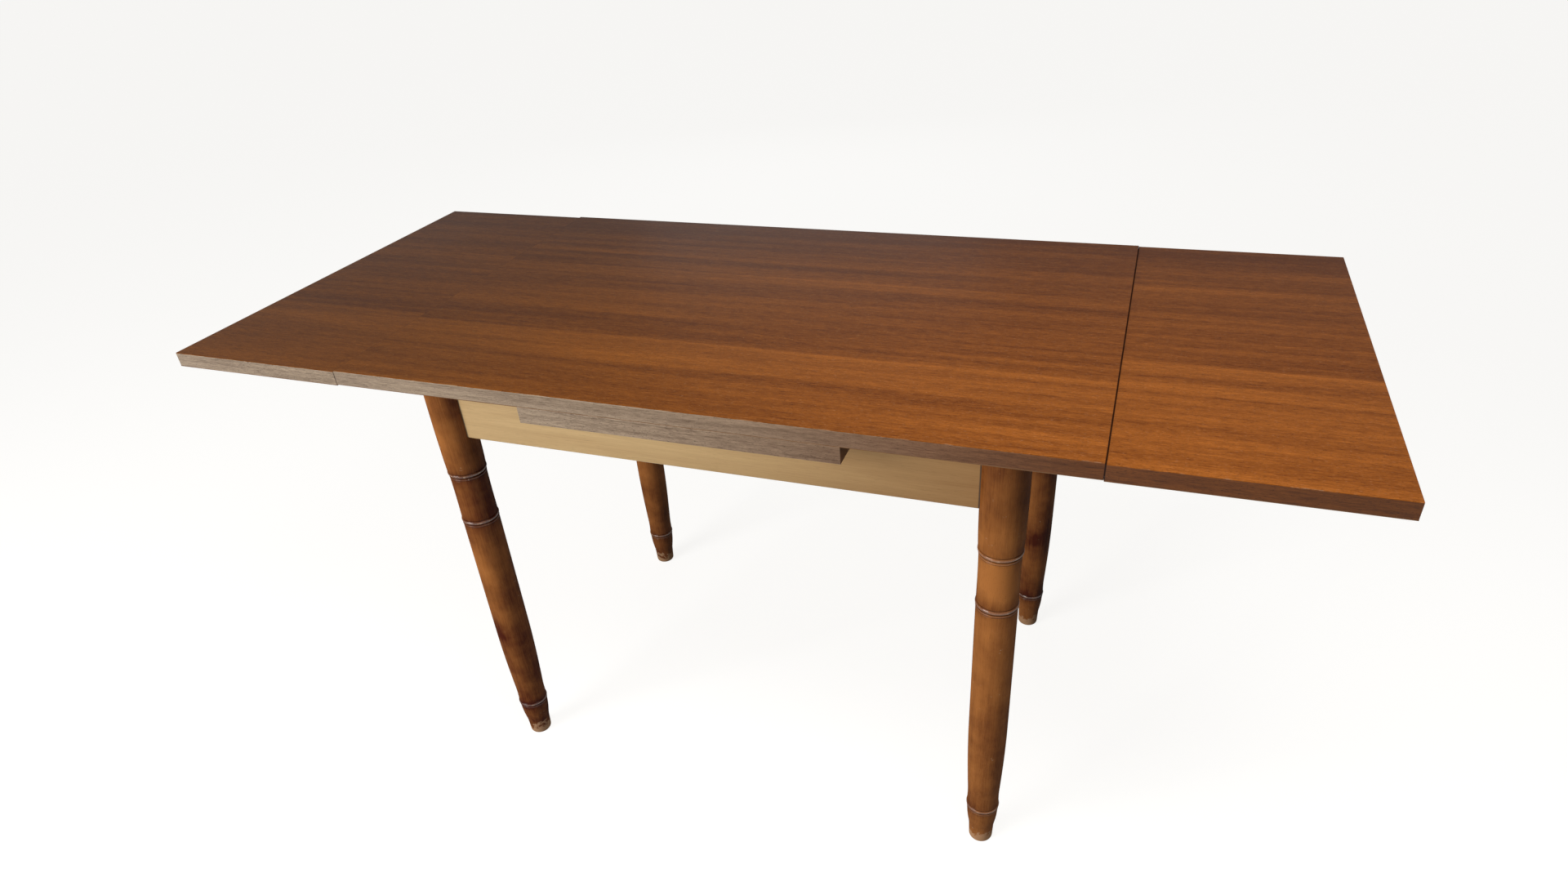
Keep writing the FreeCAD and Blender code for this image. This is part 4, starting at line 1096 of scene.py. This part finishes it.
def studio_world():
    """Soft light from all round, weaker from the right, and stronger low down behind the
    table. The camera and reflections see one pale backdrop."""
    world = bpy.data.worlds.new("studio")
    world.use_nodes = True
    bpy.context.scene.world = world
    tree = world.node_tree
    tree.nodes.clear()
    way = add(tree, "SeparateXYZ", {"Vector": add(tree, "TexCoord").outputs["Generated"]}).outputs
    lit = ramp_of(tree, way["Z"], LIGHT_LEVELS)
    aside = sums(tree, "MULTIPLY", way["X"], WEAK_SIDE[0])
    aside = sums(tree, "MULTIPLY_ADD", way["Y"], WEAK_SIDE[1], aside)
    share = between(tree, aside, -1.0, 1.0, 1.0, WEAK_SHARE)
    behind = sums(tree, "MULTIPLY", between(tree, way["Y"], *BEHIND_Y), between(tree, way["Z"], *BEHIND_Z))
    share = sums(tree, "MULTIPLY_ADD", behind, BEHIND_ADDS, share)
    light = add(tree, "Background", {"Color": lit, "Strength": share})
    seen = add(tree, "Background", {"Color": (BACKDROP_LEVEL,) * 3, "Strength": 1.0})
    sky = add(tree, "MixShader", {0: sight(tree), 1: light.outputs[0], 2: seen.outputs[0]})
    add(tree, "OutputWorld", {"Surface": sky.outputs[0]})


class TABLE_OT_stage(bpy.types.Operator):
    """Sets up the pale floor, the soft lamps and the camera"""

    bl_idname = "dining_table.stage"
    bl_label = "Floor, lamps and camera"

    def execute(self, context):
        look = context.scene.dining_table_stage
        context.scene.view_settings.view_transform = "Standard"
        studio_floor(look)
        studio_world()
        for name, setting, *rest in LAMPS:
            lamp(name, getattr(look, setting), *rest)
        camera()
        return {"FINISHED"}


OPERATORS = (
    TABLE_OT_legs, TABLE_OT_sheets, TABLE_OT_bands, TABLE_OT_boards,
    TABLE_OT_frame, TABLE_OT_slides, TABLE_OT_screws, TABLE_OT_stage,
)
PROPERTY_GROUPS = {
    "dining_table_legs": TableLegs,
    "dining_table_boards": TableBoards,
    "dining_table_frame": TableFrame,
    "dining_table_stage": TableStage,
}


class TABLE_PT_panel(bpy.types.Panel):
    """The table's sizes, colours and steps"""

    bl_idname = "TABLE_PT_panel"
    bl_label = "Dining table"
    bl_space_type = "VIEW_3D"
    bl_region_type = "UI"
    bl_category = "Dining table"

    def draw(self, context):
        for name, group in PROPERTY_GROUPS.items():
            box = self.layout.box()
            for key in group.__annotations__:
                box.prop(getattr(context.scene, name), key)
        for operator in OPERATORS:
            self.layout.operator(operator.bl_idname)


CLASSES = (*PROPERTY_GROUPS.values(), *OPERATORS, TABLE_PT_panel)


def register():
    for made in CLASSES:
        bpy.utils.register_class(made)
    for name, group in PROPERTY_GROUPS.items():
        setattr(bpy.types.Scene, name, PointerProperty(type=group))


def unregister():
    for name in PROPERTY_GROUPS:
        delattr(bpy.types.Scene, name)
    for made in reversed(CLASSES):
        bpy.utils.unregister_class(made)


def main():
    register()
    for step in ("legs", "sheets", "bands", "boards", "frame", "slides", "screws", "stage"):
        getattr(bpy.ops.dining_table, step)()


if __name__ == "__main__":
    main()
